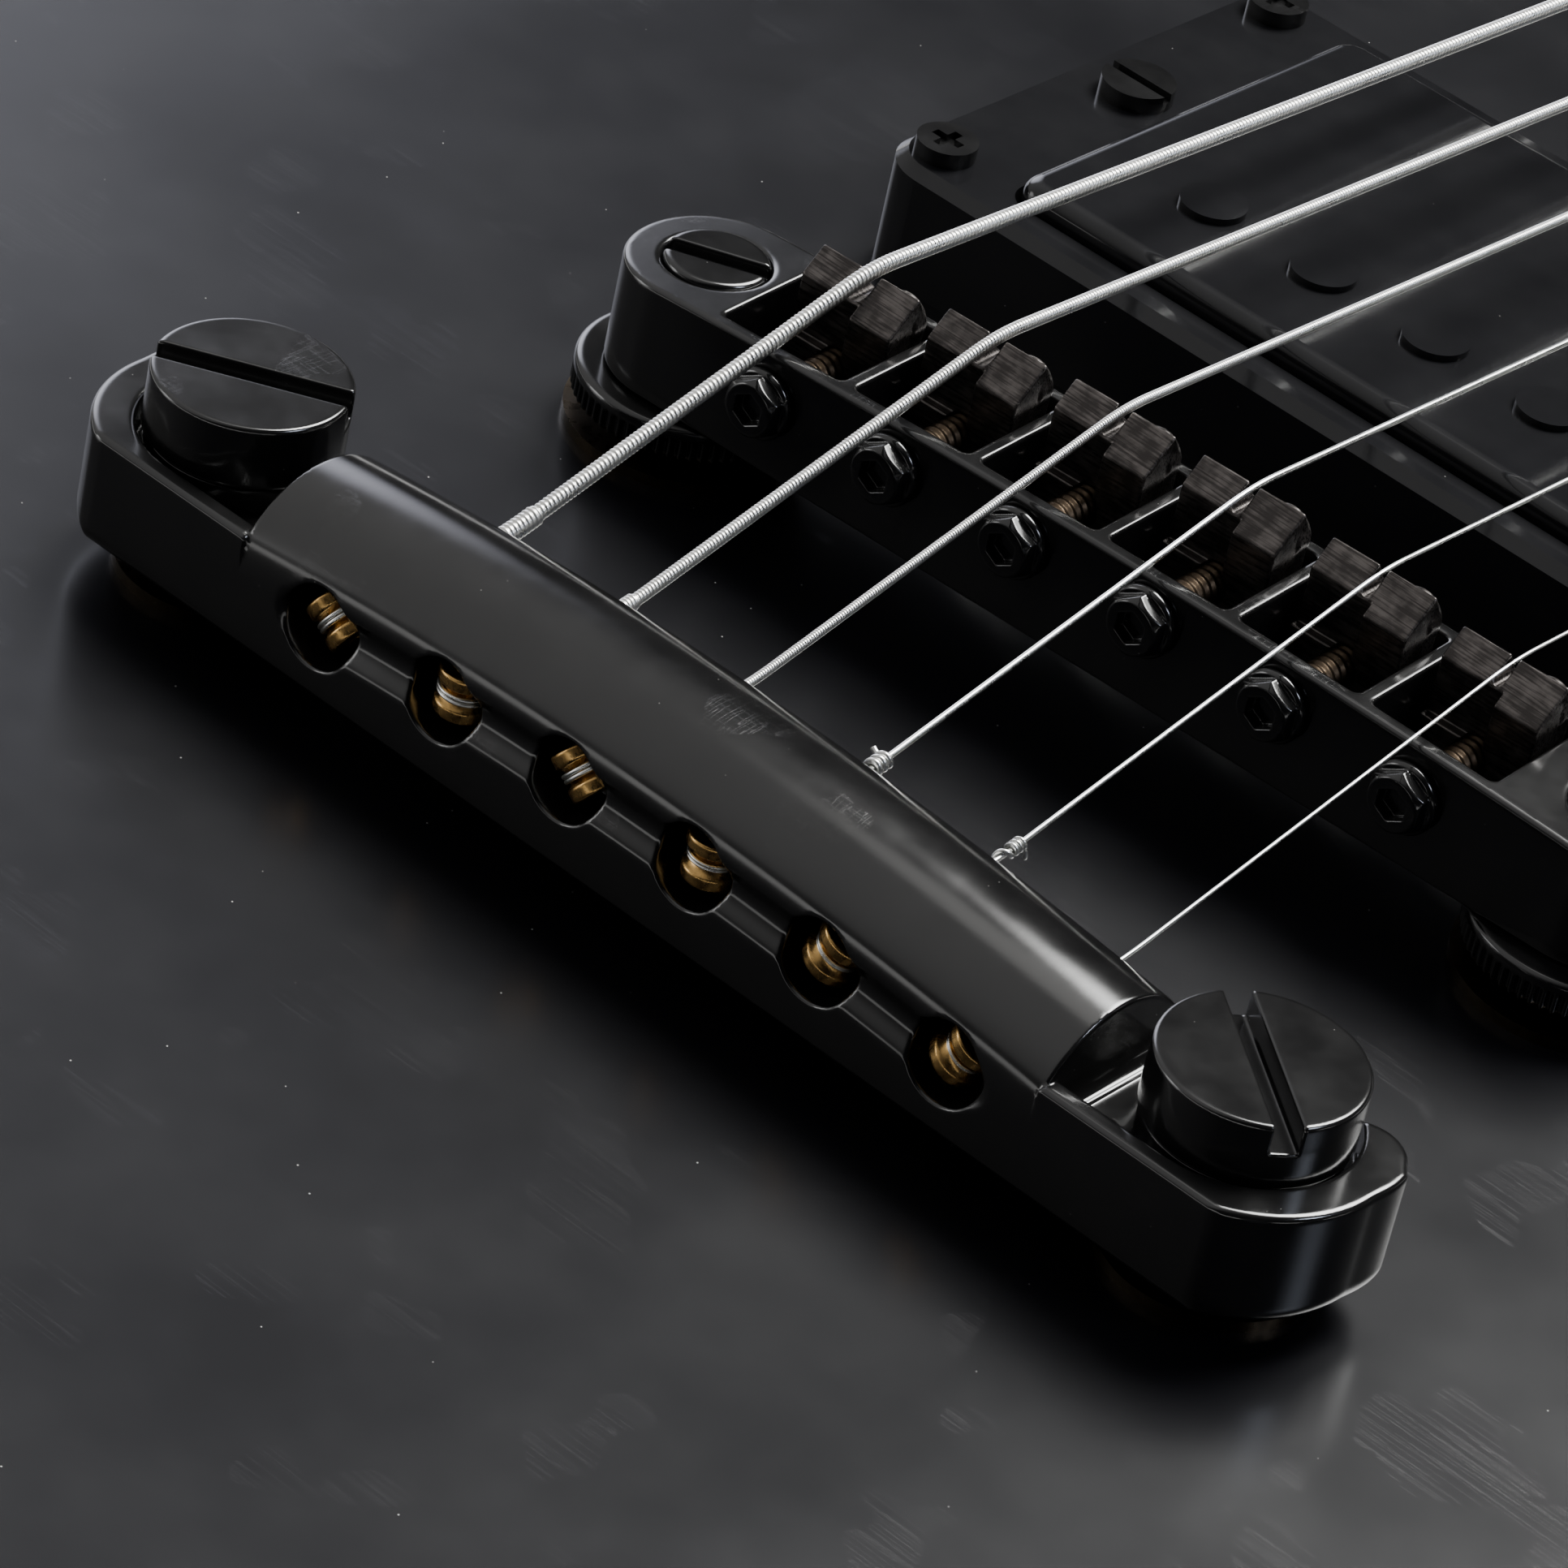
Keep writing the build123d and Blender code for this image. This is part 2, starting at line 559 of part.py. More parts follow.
def string_points(index):
    """Bends of a string: bar, bar mouth, saddle ridge, nut, and the tangent to its tuner post."""
    radius = STRING_RADII[index]
    tail_x = spread(index, TAIL_PITCH)
    hole_z = BALL_HOLE_Z - arch_drop(tail_x, TAIL_ARCH)
    start = point_in(TAIL, tail_x, BALL_Y + BALL_RADIUS + 0.2, hole_z)
    mouth = point_in(TAIL, tail_x, 7.8, hole_z + 0.4)
    ridge = point_in(BRIDGE, spread(index, SADDLE_PITCH), SADDLE_RIDGE_Y, ridge_z(index) + radius)
    nut_x = spread(index, NUT_PITCH)
    nut_z = NUT_RISE - arch_drop(nut_x, STRING_ARCH) + radius
    nut_front = point_in(NECK, nut_x, SCALE_LENGTH, nut_z)
    nut_back = point_in(NECK, nut_x, SCALE_LENGTH + NUT_LENGTH, nut_z)
    px, py = tuner_places()[index]
    inner_x = px - math.copysign(POST_RADIUS + radius + WRAP_GAP, px)
    post = point_in(HEAD, inner_x, py - 2.0, WRAP_HEIGHT)
    return [start, mouth, ridge, nut_front, nut_back, post]


def string_solid(index):
    points = string_points(index)
    section = Plane(points[0], z_dir=points[1] - points[0]) * Circle(STRING_RADII[index])
    return sweep(section, path=FilletPolyline(*points, radius=STRING_BEND))


def string_wraps(index):
    """Three turns of string round the tuner post."""
    radius = STRING_RADII[index]
    px, py = tuner_places()[index]
    ring_radius = POST_RADIUS + radius + WRAP_GAP
    turns = []
    for turn in range(3):
        turns.append(Pos(px, py, WRAP_HEIGHT - (turn + 1) * 2.05 * radius) * Torus(ring_radius, radius))
    return [HEAD * ring for ring in turns]


def make_strings(numbers):
    solids = []
    for index in numbers:
        solids.append(string_solid(index))
        solids += string_wraps(index)
    return solids_of(*solids)


# ---- tuners ------------------------------------------------------------------------
def make_tuner_housings():
    """Gear housing on the back of the headstock and the threaded front bushing of each tuner."""
    wide, tall, deep = HOUSING
    back = -HEAD_THICK
    pieces = []
    for x, y in tuner_places():
        side = math.copysign(1, x)
        shell = block((-wide / 2, wide / 2), (-tall / 2, tall / 2), (back - deep, back))
        shell = fillet(shell.edges().filter_by(Axis.Z), 3)
        shell = fillet(shell.edges().group_by(Axis.Z)[0], 2)
        shell = shell - rod(POST_RADIUS + RUNNING_CLEARANCE, back - deep + 2, back + 1)
        bore_ends = sorted((-side * 0.5, side * (wide / 2 + 5)))
        shell = shell - rod_along_x(WORM_RADIUS + RUNNING_CLEARANCE, *bore_ends, WORM_Y, back + WORM_Z)
        nut = extrude(Pos(0, 0, 0.9) * RegularPolygon(5.6, 6), 2.2)
        bush = rod(TUNER_BUSH_RADIUS, back, 0) + rod(6.6, 0, 0.9) + nut
        bush = bush - rod(POST_RADIUS + RUNNING_CLEARANCE, back - 1, 6)
        pieces += [Pos(x, y, 0) * shell, Pos(x, y, 0) * bush]
    return HEAD * solids_of(*pieces)


def make_tuner_post(index):
    x, y = tuner_places()[index]
    post = rod(POST_RADIUS, -HEAD_THICK - HOUSING[2] + 2.1, POST_HEIGHT)
    post = fillet(post.edges().group_by(Axis.Z)[-1], 0.8)
    post = post - rod_along_x(0.9, -6, 6, 0, WRAP_HEIGHT + 1.6)
    return HEAD * Pos(x, y, 0) * post


def make_tuner_button(index):
    """Worm shaft and its oval button, beyond the headstock's edge."""
    x, y = tuner_places()[index]
    side = math.copysign(1, x)
    rank = min(index, STRING_COUNT - 1 - index)
    start, end = HOUSING[0] / 2 - 6.5, BUTTON_X[rank] - abs(x)
    shaft = rod_along_x(WORM_RADIUS, start, end, 0, 0)
    plan = Plane.YZ * Ellipse(9.0, 6.4)
    button = Pos(end, 0, 0) * extrude(plan, 13)
    button = fillet(button.edges(), 1.6)
    collar = rod_along_x(3.4, end - 1.8, end, 0, 0)
    piece = union([shaft, collar, button])
    if side < 0:
        piece = mirror(piece, Plane.YZ)
    return HEAD * Pos(x, y + WORM_Y, -HEAD_THICK + WORM_Z) * piece


# ---- pickups -----------------------------------------------------------------------
def make_pickup_rings():
    rings = []
    for y, height in PICKUPS.values():
        ring = rounded_plate(RING_LENGTH, RING_WIDTH, 4, 0, height)
        ring = chamfer(ring.edges().group_by(Axis.Z)[-1], 0.8)
        ring = ring - rounded_plate(PICKUP_LENGTH + 0.8, PICKUP_WIDTH + 0.8, 2.2, -1, height + 1)
        ring = ring - block((LEG_X - 3.2, LEG_X + 3.2), (-4, 4), (-1, height - 2.5))
        ring = ring - block((-LEG_X - 3.2, -LEG_X + 3.2), (-4, 4), (-1, height - 2.5))
        for side in (-1, 1):
            ring = ring - rod(1.6, 0, 20, side * LEG_X, 0)
            for end in (-1, 1):
                ring = ring - rod(1.5, -1, 20, side * 41.0, end * 18.5)
        rings.append(Pos(0, y, 0) * ring)
    return solids_of(*rings)


def make_pickup_screws():
    """Height screws, hanging in the rings and threaded through the pickup legs."""
    screws = []
    for y, height in PICKUPS.values():
        screw = rod(2.7, height, height + 1.3) + rod(1.4, -20, height)
        screw = screw - Pos(0, 0, height + 1.3) * Box(8, 0.8, 1.2)
        screws += [Pos(side * LEG_X, y, 0) * screw for side in (-1, 1)]
    return solids_of(*screws)


def make_pickup(name):
    """Cover over two coils on a base plate with two legs, and a row of screw poles."""
    y, height = PICKUPS[name]
    top = height + PICKUP_STAND
    cover = rounded_plate(PICKUP_LENGTH, PICKUP_WIDTH, 2, top - 13, top)
    cover = fillet(cover.edges().group_by(Axis.Z)[-1], 1.2)
    cover = cover - rounded_plate(PICKUP_LENGTH - 2, PICKUP_WIDTH - 2, 1.5, top - 14, top - 1)
    row = -PICKUP_WIDTH / 4
    poles = [rod(2.4, top - 12.9, top + 0.5, spread(i, SADDLE_PITCH - 0.6), row) for i in string_numbers]
    cover = cover - union(poles)
    coils = []
    for side in (-1, 1):
        coil = rounded_plate(64, 15.5, 7, -5.6, 5.6)
        coil = Pos(0, side * PICKUP_WIDTH / 4, top - 7) * coil
        coils.append(coil - union(poles))
    base = rounded_plate(PICKUP_LENGTH - 2.2, PICKUP_WIDTH - 2.2, 1.5, top - 14.2, top - 13)
    legs = block((-LEG_X - 2.5, LEG_X + 2.5), (-3, 3), (top - 14.2, top - 13))
    base = base + legs - rod(1.45, -30, 30, LEG_X, 0) - rod(1.45, -30, 30, -LEG_X, 0)
    return Pos(0, y, 0) * solids_of(cover, base, *coils, *poles)


def make_pickup_springs(name):
    """Compression springs between the ring and the pickup's legs, drawn as their envelope."""
    y, height = PICKUPS[name]
    low, high = height + PICKUP_STAND - 13, height - 2.5 - RUNNING_CLEARANCE
    sleeve = rod(2.6, low, high) - rod(1.9, low - 1, high + 1)
    return solids_of(*[Pos(side * LEG_X, y, 0) * sleeve for side in (-1, 1)])


# ---- controls ----------------------------------------------------------------------
def make_potentiometers():
    pots = []
    for x, y in KNOB_PLACES.values():
        nut = extrude(RegularPolygon(6, 6), 1.4)
        can = rod(12, -TOP_SKIN - 10, -TOP_SKIN) + rod(4.7, -TOP_SKIN, 1.6) + nut
        can = can - rod(POT_SHAFT + RUNNING_CLEARANCE, -TOP_SKIN - 8, 4)
        pots.append(Pos(x, y, 0) * can)
    return solids_of(*pots)


def make_knob(name):
    """Skirted barrel knob with a pointer groove, and the shaft that it grips."""
    x, y = KNOB_PLACES[name]
    low, high = 2.4, KNOB_TOP
    knob = rod(KNOB_BARREL, low, high)
    knob = fillet(knob.edges().group_by(Axis.Z)[-1], 1.4)
    knob = knob - block((-0.5, 0.5), (2, 12), (high - 0.6, high + 1))
    knob = knob - rod(POT_SHAFT, low - 1, high - 4)
    shaft = rod(POT_SHAFT, -TOP_SKIN - 7.5, high - 4)
    return Pos(x, y, 0) * solids_of(knob, shaft)


def make_selector_switch():
    x, y = SWITCH_PLACE
    frame = block((-8, 8), (-14, 14), (-34, -TOP_SKIN))
    frame = frame - block((-6.5, 6.5), (-12.5, 12.5), (-32.5, -TOP_SKIN - 1.5))
    barrel = rod(5.8, -TOP_SKIN, 2.6) + rod(8.2, 0, 1.2)
    bore = rod(4.4, -TOP_SKIN - 2, 3)
    return Pos(x, y, 0) * (frame + barrel - bore)


def make_toggle_lever():
    x, y = SWITCH_PLACE
    stem = rod(1.7, LEVER_PIVOT_Z - 10, 14)
    ball = Pos(0, 0, LEVER_PIVOT_Z) * Sphere(3.2)
    cone = Pos(0, 0, 13) * Cone(2.3, 4.2, 11)
    tip = fillet(cone.edges().group_by(Axis.Z)[-1], 1.5)
    return Pos(x, y, 0) * union([stem, ball, tip])


def jack_recess():
    """Flat cut on the treble rim that seats the jack plate."""
    return block((JACK_FACE_X, 200), (JACK_Y - 19, JACK_Y + 19), (-BODY_THICK / 2 - 15, -BODY_THICK / 2 + 15))


def make_output_jack():
    z = -BODY_THICK / 2
    sleeve = rod_along_x(4.6, JACK_FACE_X - 22, JACK_FACE_X + 4.2, JACK_Y, z)
    nut = Pos(JACK_FACE_X + 1.8, JACK_Y, z) * Rot(0, 90, 0) * extrude(RegularPolygon(6.6, 6), 2.2)
    return sleeve + nut - rod_along_x(JACK_RADIUS, JACK_FACE_X - 20, JACK_FACE_X + 6, JACK_Y, z)


def make_cover_plates():
    """Truss rod cover, control cover and jack plate."""
    truss = Pos(0, 14, 0) * rounded_plate(20, 34, 8, 0, 2)
    truss = HEAD * (truss & block((-20, 20), (0.5, 40), (-1, 3)))
    control = control_prism(COVER_MARGIN - 0.3, COVER_THICK)
    plate = Plane.YZ * RectangleRounded(36, 28, 6)
    plate = Pos(JACK_FACE_X, JACK_Y, -BODY_THICK / 2) * extrude(plate, 1.8)
    plate = plate - rod_along_x(4.6, JACK_FACE_X - 1, JACK_FACE_X + 3, JACK_Y, -BODY_THICK / 2)
    return [truss, control, plate]


# ---- small hardware ----------------------------------------------------------------
def wood_screw(head_radius, shank_radius, length, head_height, slotted):
    """Pan-head wood screw standing on Z = 0, or its plain envelope."""
    screw = rod(head_radius, 0, head_height) + rod(shank_radius, -length, 0)
    cross = Box(head_radius * 1.1, 0.7, 1.0) + Box(0.7, head_radius * 1.1, 1.0)
    return screw - Pos(0, 0, head_height) * cross if slotted else screw


def make_wood_screws(slotted=True):
    """All wood screws; the last three hold the truss rod cover."""
    screws = []
    for y, height in PICKUPS.values():
        for side in (-1, 1):
            for end in (-1, 1):
                place = Pos(side * 41.0, y + end * 18.5, height)
                screws.append(place * wood_screw(2.2, 1.3, height + 12, 1.2, slotted))
    for (x, y), (dx, dy) in zip(KNOB_PLACES.values(), ((-8, 19), (20.5, 0), (-8, -19))):
        place = Pos(x + dx, y + dy, -BODY_THICK + 0.9) * Rot(180, 0, 0)
        screws.append(place * wood_screw(2.4, 1.3, 10, 0.9, slotted))
    for dy in (-13.5, 13.5):
        place = Pos(JACK_FACE_X + 1.8, JACK_Y + dy, -BODY_THICK / 2) * Rot(0, 90, 0)
        screws.append(place * wood_screw(2.4, 1.3, 12, 1.2, slotted))
    for x, y in ((-7.2, 5.0), (7.2, 5.0), (0.0, 27.5)):
        screws.append(HEAD * Pos(x, y, 2) * wood_screw(1.7, 0.9, 7, 0.9, slotted))
    return screws


def strap_button():
    """Strap button with a waist, standing on Z = 0, and its screw."""
    profile = Polyline((0, 0), (6.5, 0), (6.5, 1.5), (4.0, 4.0), (4.0, 8.5), (7.6, 11.5), (7.6, 13.0), (0, 13.0),
                       close=True)
    knob = revolve(Plane.XZ * make_face(profile), Axis.Z)
    return knob + rod(1.8, -22, 0) - Pos(0, 0, 13) * Box(7, 0.9, 2)


def make_strap_buttons():
    tail = Pos(0, TAIL_END, -BODY_THICK / 2) * Rot(90, 0, 0) * strap_button()
    horn = Pos(-136, 279.5, -BODY_THICK / 2) * Rot(0, 0, 32) * Rot(-90, 0, 0) * strap_button()
    return [tail, horn]


def make_wiring():
    """Screened leads that lie in the drilled channels."""
    lead = 1.4
    link = rod_along_y(lead, BRIDGE_PICKUP_Y + 20.5, NECK_PICKUP_Y - 20.5, 22, -16)
    to_controls = Pos(58, -2, -20) * Rot(0, 0, -48) * Rot(90, 0, 0) * Cylinder(lead, 50)
    to_switch = Pos(-66, 158, -18) * Rot(0, 0, 71) * Rot(90, 0, 0) * Cylinder(lead, 36)
    return solids_of(link, to_controls, to_switch)


# ---- assembly ----------------------------------------------------------------------
def build_nodes():
    nodes = {}
    nodes["fingerboard"] = make_fingerboard()
    nodes["frets"] = make_frets()
    nodes["fret_markers"] = make_fret_markers()
    nodes["nut"] = make_nut()
    nodes["truss_rod"] = make_truss_rod()
    nodes["tailpiece"] = make_tailpiece()
    nodes["tailpiece_studs"] = make_tailpiece_studs()
    nodes["tailpiece_caps"] = make_tailpiece_caps()
    nodes["stud_bushings"] = make_stud_bushings()
    nodes["ball_ends"] = make_ball_ends()
    nodes["wound_strings"] = make_strings(range(WOUND_COUNT))
    nodes["plain_strings"] = make_strings(range(WOUND_COUNT, STRING_COUNT))
    nodes["pickup_rings"] = make_pickup_rings()
    nodes["pickup_screws"] = make_pickup_screws()
    nodes["tuner_housings"] = make_tuner_housings()
    nodes["potentiometers"] = make_potentiometers()
    nodes["selector_switch"] = make_selector_switch()
    nodes["output_jack"] = make_output_jack()
    nodes["wiring"] = make_wiring()
    nodes["bridge_frame"] = make_bridge_frame()
    nodes["bridge_post_bass"] = make_bridge_post(-1)
    nodes["bridge_post_treble"] = make_bridge_post(1)
    nodes["toggle_lever"] = make_toggle_lever()
    for index in string_numbers:
        nodes[f"saddle_{index + 1}"] = make_saddle(index)
        nodes[f"saddle_screw_{index + 1}"] = make_saddle_screw(index)
        nodes[f"tuner_post_{index + 1}"] = make_tuner_post(index)
        nodes[f"tuner_button_{index + 1}"] = make_tuner_button(index)
    for name in KNOB_PLACES:
        nodes[name] = make_knob(name)
    for name in PICKUPS:
        nodes[name] = make_pickup(name)
        nodes[name + "_springs"] = make_pickup_springs(name)

    screws = make_wood_screws(slotted=False)
    covers = make_cover_plates()
    buttons = make_strap_buttons()
    nodes["wood_screws"] = solids_of(*make_wood_screws())
    nodes["cover_plates"] = solids_of(*[cover - union(screws) for cover in covers])
    nodes["strap_buttons"] = solids_of(*buttons)
    neck = make_neck()
    nodes["neck"] = neck - union(screws[-3:])
    post_holes = [BRIDGE * Pos(post_x(side), 0, 0) * rod(5.5, -26, 0.1) for side in (-1, 1)]
    pot_holes = [rod(4.7, -TOP_SKIN - 1, 1, x, y) for x, y in KNOB_PLACES.values()]
    switch_hole = rod(5.8, -TOP_SKIN - 1, 1, *SWITCH_PLACE)
    cuts = [neck, nodes["truss_rod"], switch_hole, tail_bushing_envelope()]
    cuts += [control_room(), switch_room(), jack_recess()] + pickup_cavities() + wire_channels()
    cuts += post_holes + pot_holes + screws + buttons
    nodes.update(make_body_halves(cuts))
    return nodes


def rest_tilt():
    """Tilt about X that brings the tail rim and the lowest tuner housings to one level."""
    tail = (TAIL_END + BODY_ROUND, -BODY_THICK + BODY_ROUND)
    corner = point_in(HEAD, 0, TUNER_Y[-1] + HOUSING[1] / 2 - 2.0, -HEAD_THICK - HOUSING[2] + 2.0)
    run, rise = corner.Y - tail[0], corner.Z - tail[1]
    span = math.hypot(run, rise)
    return math.degrees(math.asin((2.0 - BODY_ROUND) / span) - math.atan2(rise, run))


def main():
    os.makedirs("parts", exist_ok=True)
    nodes = build_nodes()
    tilt = Rot(rest_tilt(), 0, 0)
    tilted = {name: tilt * shape for name, shape in nodes.items()}
    box = Compound([solid for shape in tilted.values() for solid in shape.solids()]).bounding_box()
    rest = Pos(-box.center().X, -box.center().Y, -box.min.Z)
    for name, shape in tilted.items():
        export_step(rest * shape, f"parts/{name}.step")
    shift = rest.position
    print(f"rest tilt {rest_tilt():.6f} shift {shift.X:.6f} {shift.Y:.6f} {shift.Z:.6f}")


if __name__ == "__main__":
    main()
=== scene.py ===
import json
import math

import bpy
import numpy as np
from mathutils import Matrix, Quaternion, Vector


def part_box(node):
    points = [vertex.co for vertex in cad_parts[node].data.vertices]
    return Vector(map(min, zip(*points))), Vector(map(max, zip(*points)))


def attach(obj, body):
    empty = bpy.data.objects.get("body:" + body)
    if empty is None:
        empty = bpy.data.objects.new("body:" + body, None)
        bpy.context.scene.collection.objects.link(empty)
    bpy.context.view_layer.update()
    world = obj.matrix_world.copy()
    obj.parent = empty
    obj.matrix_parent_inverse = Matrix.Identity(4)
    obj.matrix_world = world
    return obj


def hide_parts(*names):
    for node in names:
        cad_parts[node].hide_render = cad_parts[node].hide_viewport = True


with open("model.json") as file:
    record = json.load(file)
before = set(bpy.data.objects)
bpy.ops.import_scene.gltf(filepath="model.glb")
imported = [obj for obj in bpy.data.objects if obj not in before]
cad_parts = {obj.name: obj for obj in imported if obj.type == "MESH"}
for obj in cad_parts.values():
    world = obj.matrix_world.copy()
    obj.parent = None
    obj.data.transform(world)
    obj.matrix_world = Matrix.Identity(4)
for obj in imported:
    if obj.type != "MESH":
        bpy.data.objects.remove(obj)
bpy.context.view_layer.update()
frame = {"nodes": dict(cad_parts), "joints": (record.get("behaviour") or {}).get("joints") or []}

# A gloss black electric guitar lying on its back, seen close over its tailpiece and bridge.
# Local sizes are millimetres in the guitar's own frame: X from bass to treble, Y from tail to
# headstock, Z out of the body top, with Y = 0 at the saddles and Z = 0 on the body top.

MM = 0.001
JOINTS = {joint["name"]: joint for joint in frame["joints"]}

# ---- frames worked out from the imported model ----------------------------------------
BRIDGE_BOTTOM = 4.7
BRIDGE_SHIFT = 0.8
TAILPIECE_Y = -42.5
CAP_MIDDLE_Z = 11.4
SCALE_LENGTH = 628.0
NECK_ANGLE = 1.4
BOARD_LEVEL = 12.5
BOARD_THICK = 5.5
NUT_LENGTH = 5.0
HEAD_ANGLE = 14.0

UP = Vector(JOINTS["bridge_height"]["axis"]).normalized()
ACROSS = Vector((1, 0, 0))
ALONG = UP.cross(ACROSS)


def local_frame(origin, across, along, up):
    """Local millimetres to the row frame's metres."""
    turn = Matrix((across, along, up)).transposed().to_4x4()
    return Matrix.Translation(origin) @ turn @ Matrix.Scale(MM, 4)


def box_middle(node):
    low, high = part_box(node)
    return (low + high) / 2


def turned(origin, degrees):
    """A frame moved to a point and turned about X."""
    return Matrix.Translation(Vector(origin)) @ Matrix.Rotation(math.radians(degrees), 4, "X")


caps_middle = box_middle("tailpiece_caps")
TAIL = local_frame(caps_middle - UP * CAP_MIDDLE_Z * MM, ACROSS, ALONG, UP)
GUITAR = TAIL @ Matrix.Translation((0, -TAILPIECE_Y, 0))
bass_pivot = Vector(JOINTS["bass_post_turn"]["pos_m"])
treble_pivot = Vector(JOINTS["treble_post_turn"]["pos_m"])
bridge_across = (treble_pivot - bass_pivot).normalized()
bridge_offset = (UP * BRIDGE_BOTTOM + bridge_across * BRIDGE_SHIFT) * MM
BRIDGE = local_frame((bass_pivot + treble_pivot) / 2 - bridge_offset,
                     bridge_across, UP.cross(bridge_across), UP)
NECK = GUITAR @ turned((0, 0, BOARD_LEVEL), -NECK_ANGLE)
HEAD = NECK @ turned((0, SCALE_LENGTH + NUT_LENGTH, -BOARD_THICK), -HEAD_ANGLE)

# ---- camera --------------------------------------------------------------------------
CAMERA_PLACE = (212.2, -342.3, 263.1)
CAMERA_AIM = (4.53, -42.28, 11.13)
CAMERA_ROLL = 12.81
FIELD_OF_VIEW = 12.004


def make_camera():
    camera = bpy.data.objects.new("camera", bpy.data.cameras.new("camera"))
    bpy.context.scene.collection.objects.link(camera)
    look = Vector(CAMERA_AIM) - Vector(CAMERA_PLACE)
    turn = look.to_track_quat("-Z", "Y") @ Quaternion((0, 0, 1), math.radians(CAMERA_ROLL))
    camera.rotation_mode = "QUATERNION"
    camera.rotation_quaternion = GUITAR.to_quaternion() @ turn
    camera.location = GUITAR @ Vector(CAMERA_PLACE)
    camera.data.angle = math.radians(FIELD_OF_VIEW)
    camera.data.clip_start = 0.01
    camera.data.clip_end = 200.0
    bpy.context.scene.camera = camera


make_camera()


# ---- distance functions, in millimetres ----------------------------------------------
def length(*parts):
    return np.sqrt(sum(part * part for part in parts))


def both(a, b, radius=0.0):
    """Where two shapes overlap, with the edge between them rounded."""
    if radius == 0:
        return np.maximum(a, b)
    edge = length(np.maximum(a + radius, 0), np.maximum(b + radius, 0))
    return np.minimum(np.maximum(a, b), -radius) + edge


def either(a, b, radius=0.0):
    """Two shapes together, with the corner between them filled."""
    return -both(-a, -b, radius)


def less(a, b, radius=0.0):
    """The first shape with the second cut away."""
    return both(a, -b, radius)


def between(value, low, high):
    return np.maximum(low - value, value - high)


def disc(x, y, radius):
    return length(x, y) - radius


def capsule(x, y, low, high, radius):
    """A straight slot along Y with round ends."""
    return length(x, y - np.clip(y, low, high)) - radius


def hexagon(x, y, flat):
    """Distance to a hexagon whose flats are this far from its centre."""
    slope = math.sqrt(3) / 2
    return np.maximum(abs(y), np.maximum(abs(x * slope + y / 2), abs(x * slope - y / 2))) - flat


# ---- meshing -------------------------------------------------------------------------
CORNERS = np.array([(i, j, k) for i in (0, 1) for j in (0, 1) for k in (0, 1)])
EDGES = [(a, b) for a in range(8) for b in range(a + 1, 8) if np.abs(CORNERS[a] - CORNERS[b]).sum() == 1]


def skin(distance, low, high, step):
    """Points and quads on the zero level of a distance function: surface nets on an even grid,
    with the points then moved onto the surface."""
    axes = [np.arange(a - 2 * step, b + 3 * step, step) for a, b in zip(low, high)]
    sizes = [len(axis) for axis in axes]
    value = distance(axes[0][:, None, None], axes[1][None, :, None], axes[2][None, None, :])
    value = np.broadcast_to(value, sizes).astype(np.float32)
    inside = value < 0
    count = sum(inside[i:sizes[0] - 1 + i, j:sizes[1] - 1 + j, k:sizes[2] - 1 + k].astype(np.int8)
                for i, j, k in CORNERS)
    cells = np.argwhere((count > 0) & (count < 8))
    number = np.full(count.shape, -1, np.int32)
    number[tuple(cells.T)] = np.arange(len(cells))
    total = np.zeros((len(cells), 3))
    hits = np.zeros(len(cells))
    for a, b in EDGES:
        first = value[tuple((cells + CORNERS[a]).T)]
        second = value[tuple((cells + CORNERS[b]).T)]
        crossed = (first < 0) != (second < 0)
        share = first[crossed] / (first[crossed] - second[crossed])
        total[crossed] += CORNERS[a] + share[:, None] * (CORNERS[b] - CORNERS[a])
        hits[crossed] += 1
    points = (cells + total / hits[:, None]) * step + [axis[0] for axis in axes]
    return settle(distance, points, step), grid_quads(inside, number)


def settle(distance, points, step):
    """Moves points along the gradient until they lie on the surface."""
    for _ in range(3):
        here = distance(*points.T)
        slope = np.empty_like(points)
        for axis in range(3):
            nudge = np.zeros(3)
            nudge[axis] = step / 8
            slope[:, axis] = (distance(*(points + nudge).T) - distance(*(points - nudge).T)) / (step / 4)
        move = (here / np.maximum((slope ** 2).sum(1), 0.05))[:, None] * slope
        size = np.maximum(np.linalg.norm(move, axis=1, keepdims=True), 1e-9)
        points = points - move * np.minimum(1, step / size)
    return points


def grid_quads(inside, number):
    """One quad round every grid edge that crosses the surface."""
    quads = []
    for axis in range(3):
        start = [slice(1, -1)] * 3
        start[axis] = slice(0, -1)
        end = list(start)
        end[axis] = slice(1, None)
        lower, upper = inside[tuple(start)], inside[tuple(end)]
        edges = np.argwhere(lower != upper)
        outward = lower[tuple(edges.T)]
        shift = np.ones(3, int)
        shift[axis] = 0
        edges = edges + shift
        u, v = np.eye(3, dtype=int)[(axis + 1) % 3], np.eye(3, dtype=int)[(axis + 2) % 3]
        ring = np.stack([number[tuple((edges - back).T)] for back in (0 * u, u, u + v, v)], 1)
        ring[~outward] = ring[~outward][:, ::-1]
        quads.append(ring)
    return np.concatenate(quads)


def to_object(name, points, faces, place, caps=()):
    """A smooth shaded mesh object from local points, quads, and end caps with more corners."""
    mesh = bpy.data.meshes.new(name)
    corners = np.asarray(faces).tolist() + [list(cap) for cap in caps]
    mesh.from_pydata(np.asarray(points).tolist(), [], corners)
    mesh.validate()
    mesh.transform(place)
    mesh.shade_smooth()
    piece = bpy.data.objects.new(name, mesh)
    bpy.context.scene.collection.objects.link(piece)
    return piece


def finish_piece(piece, look, slot, body, *replaced):
    piece.data.materials.append(look)
    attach(piece, body)
    if replaced:
        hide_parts(*replaced)
    return piece


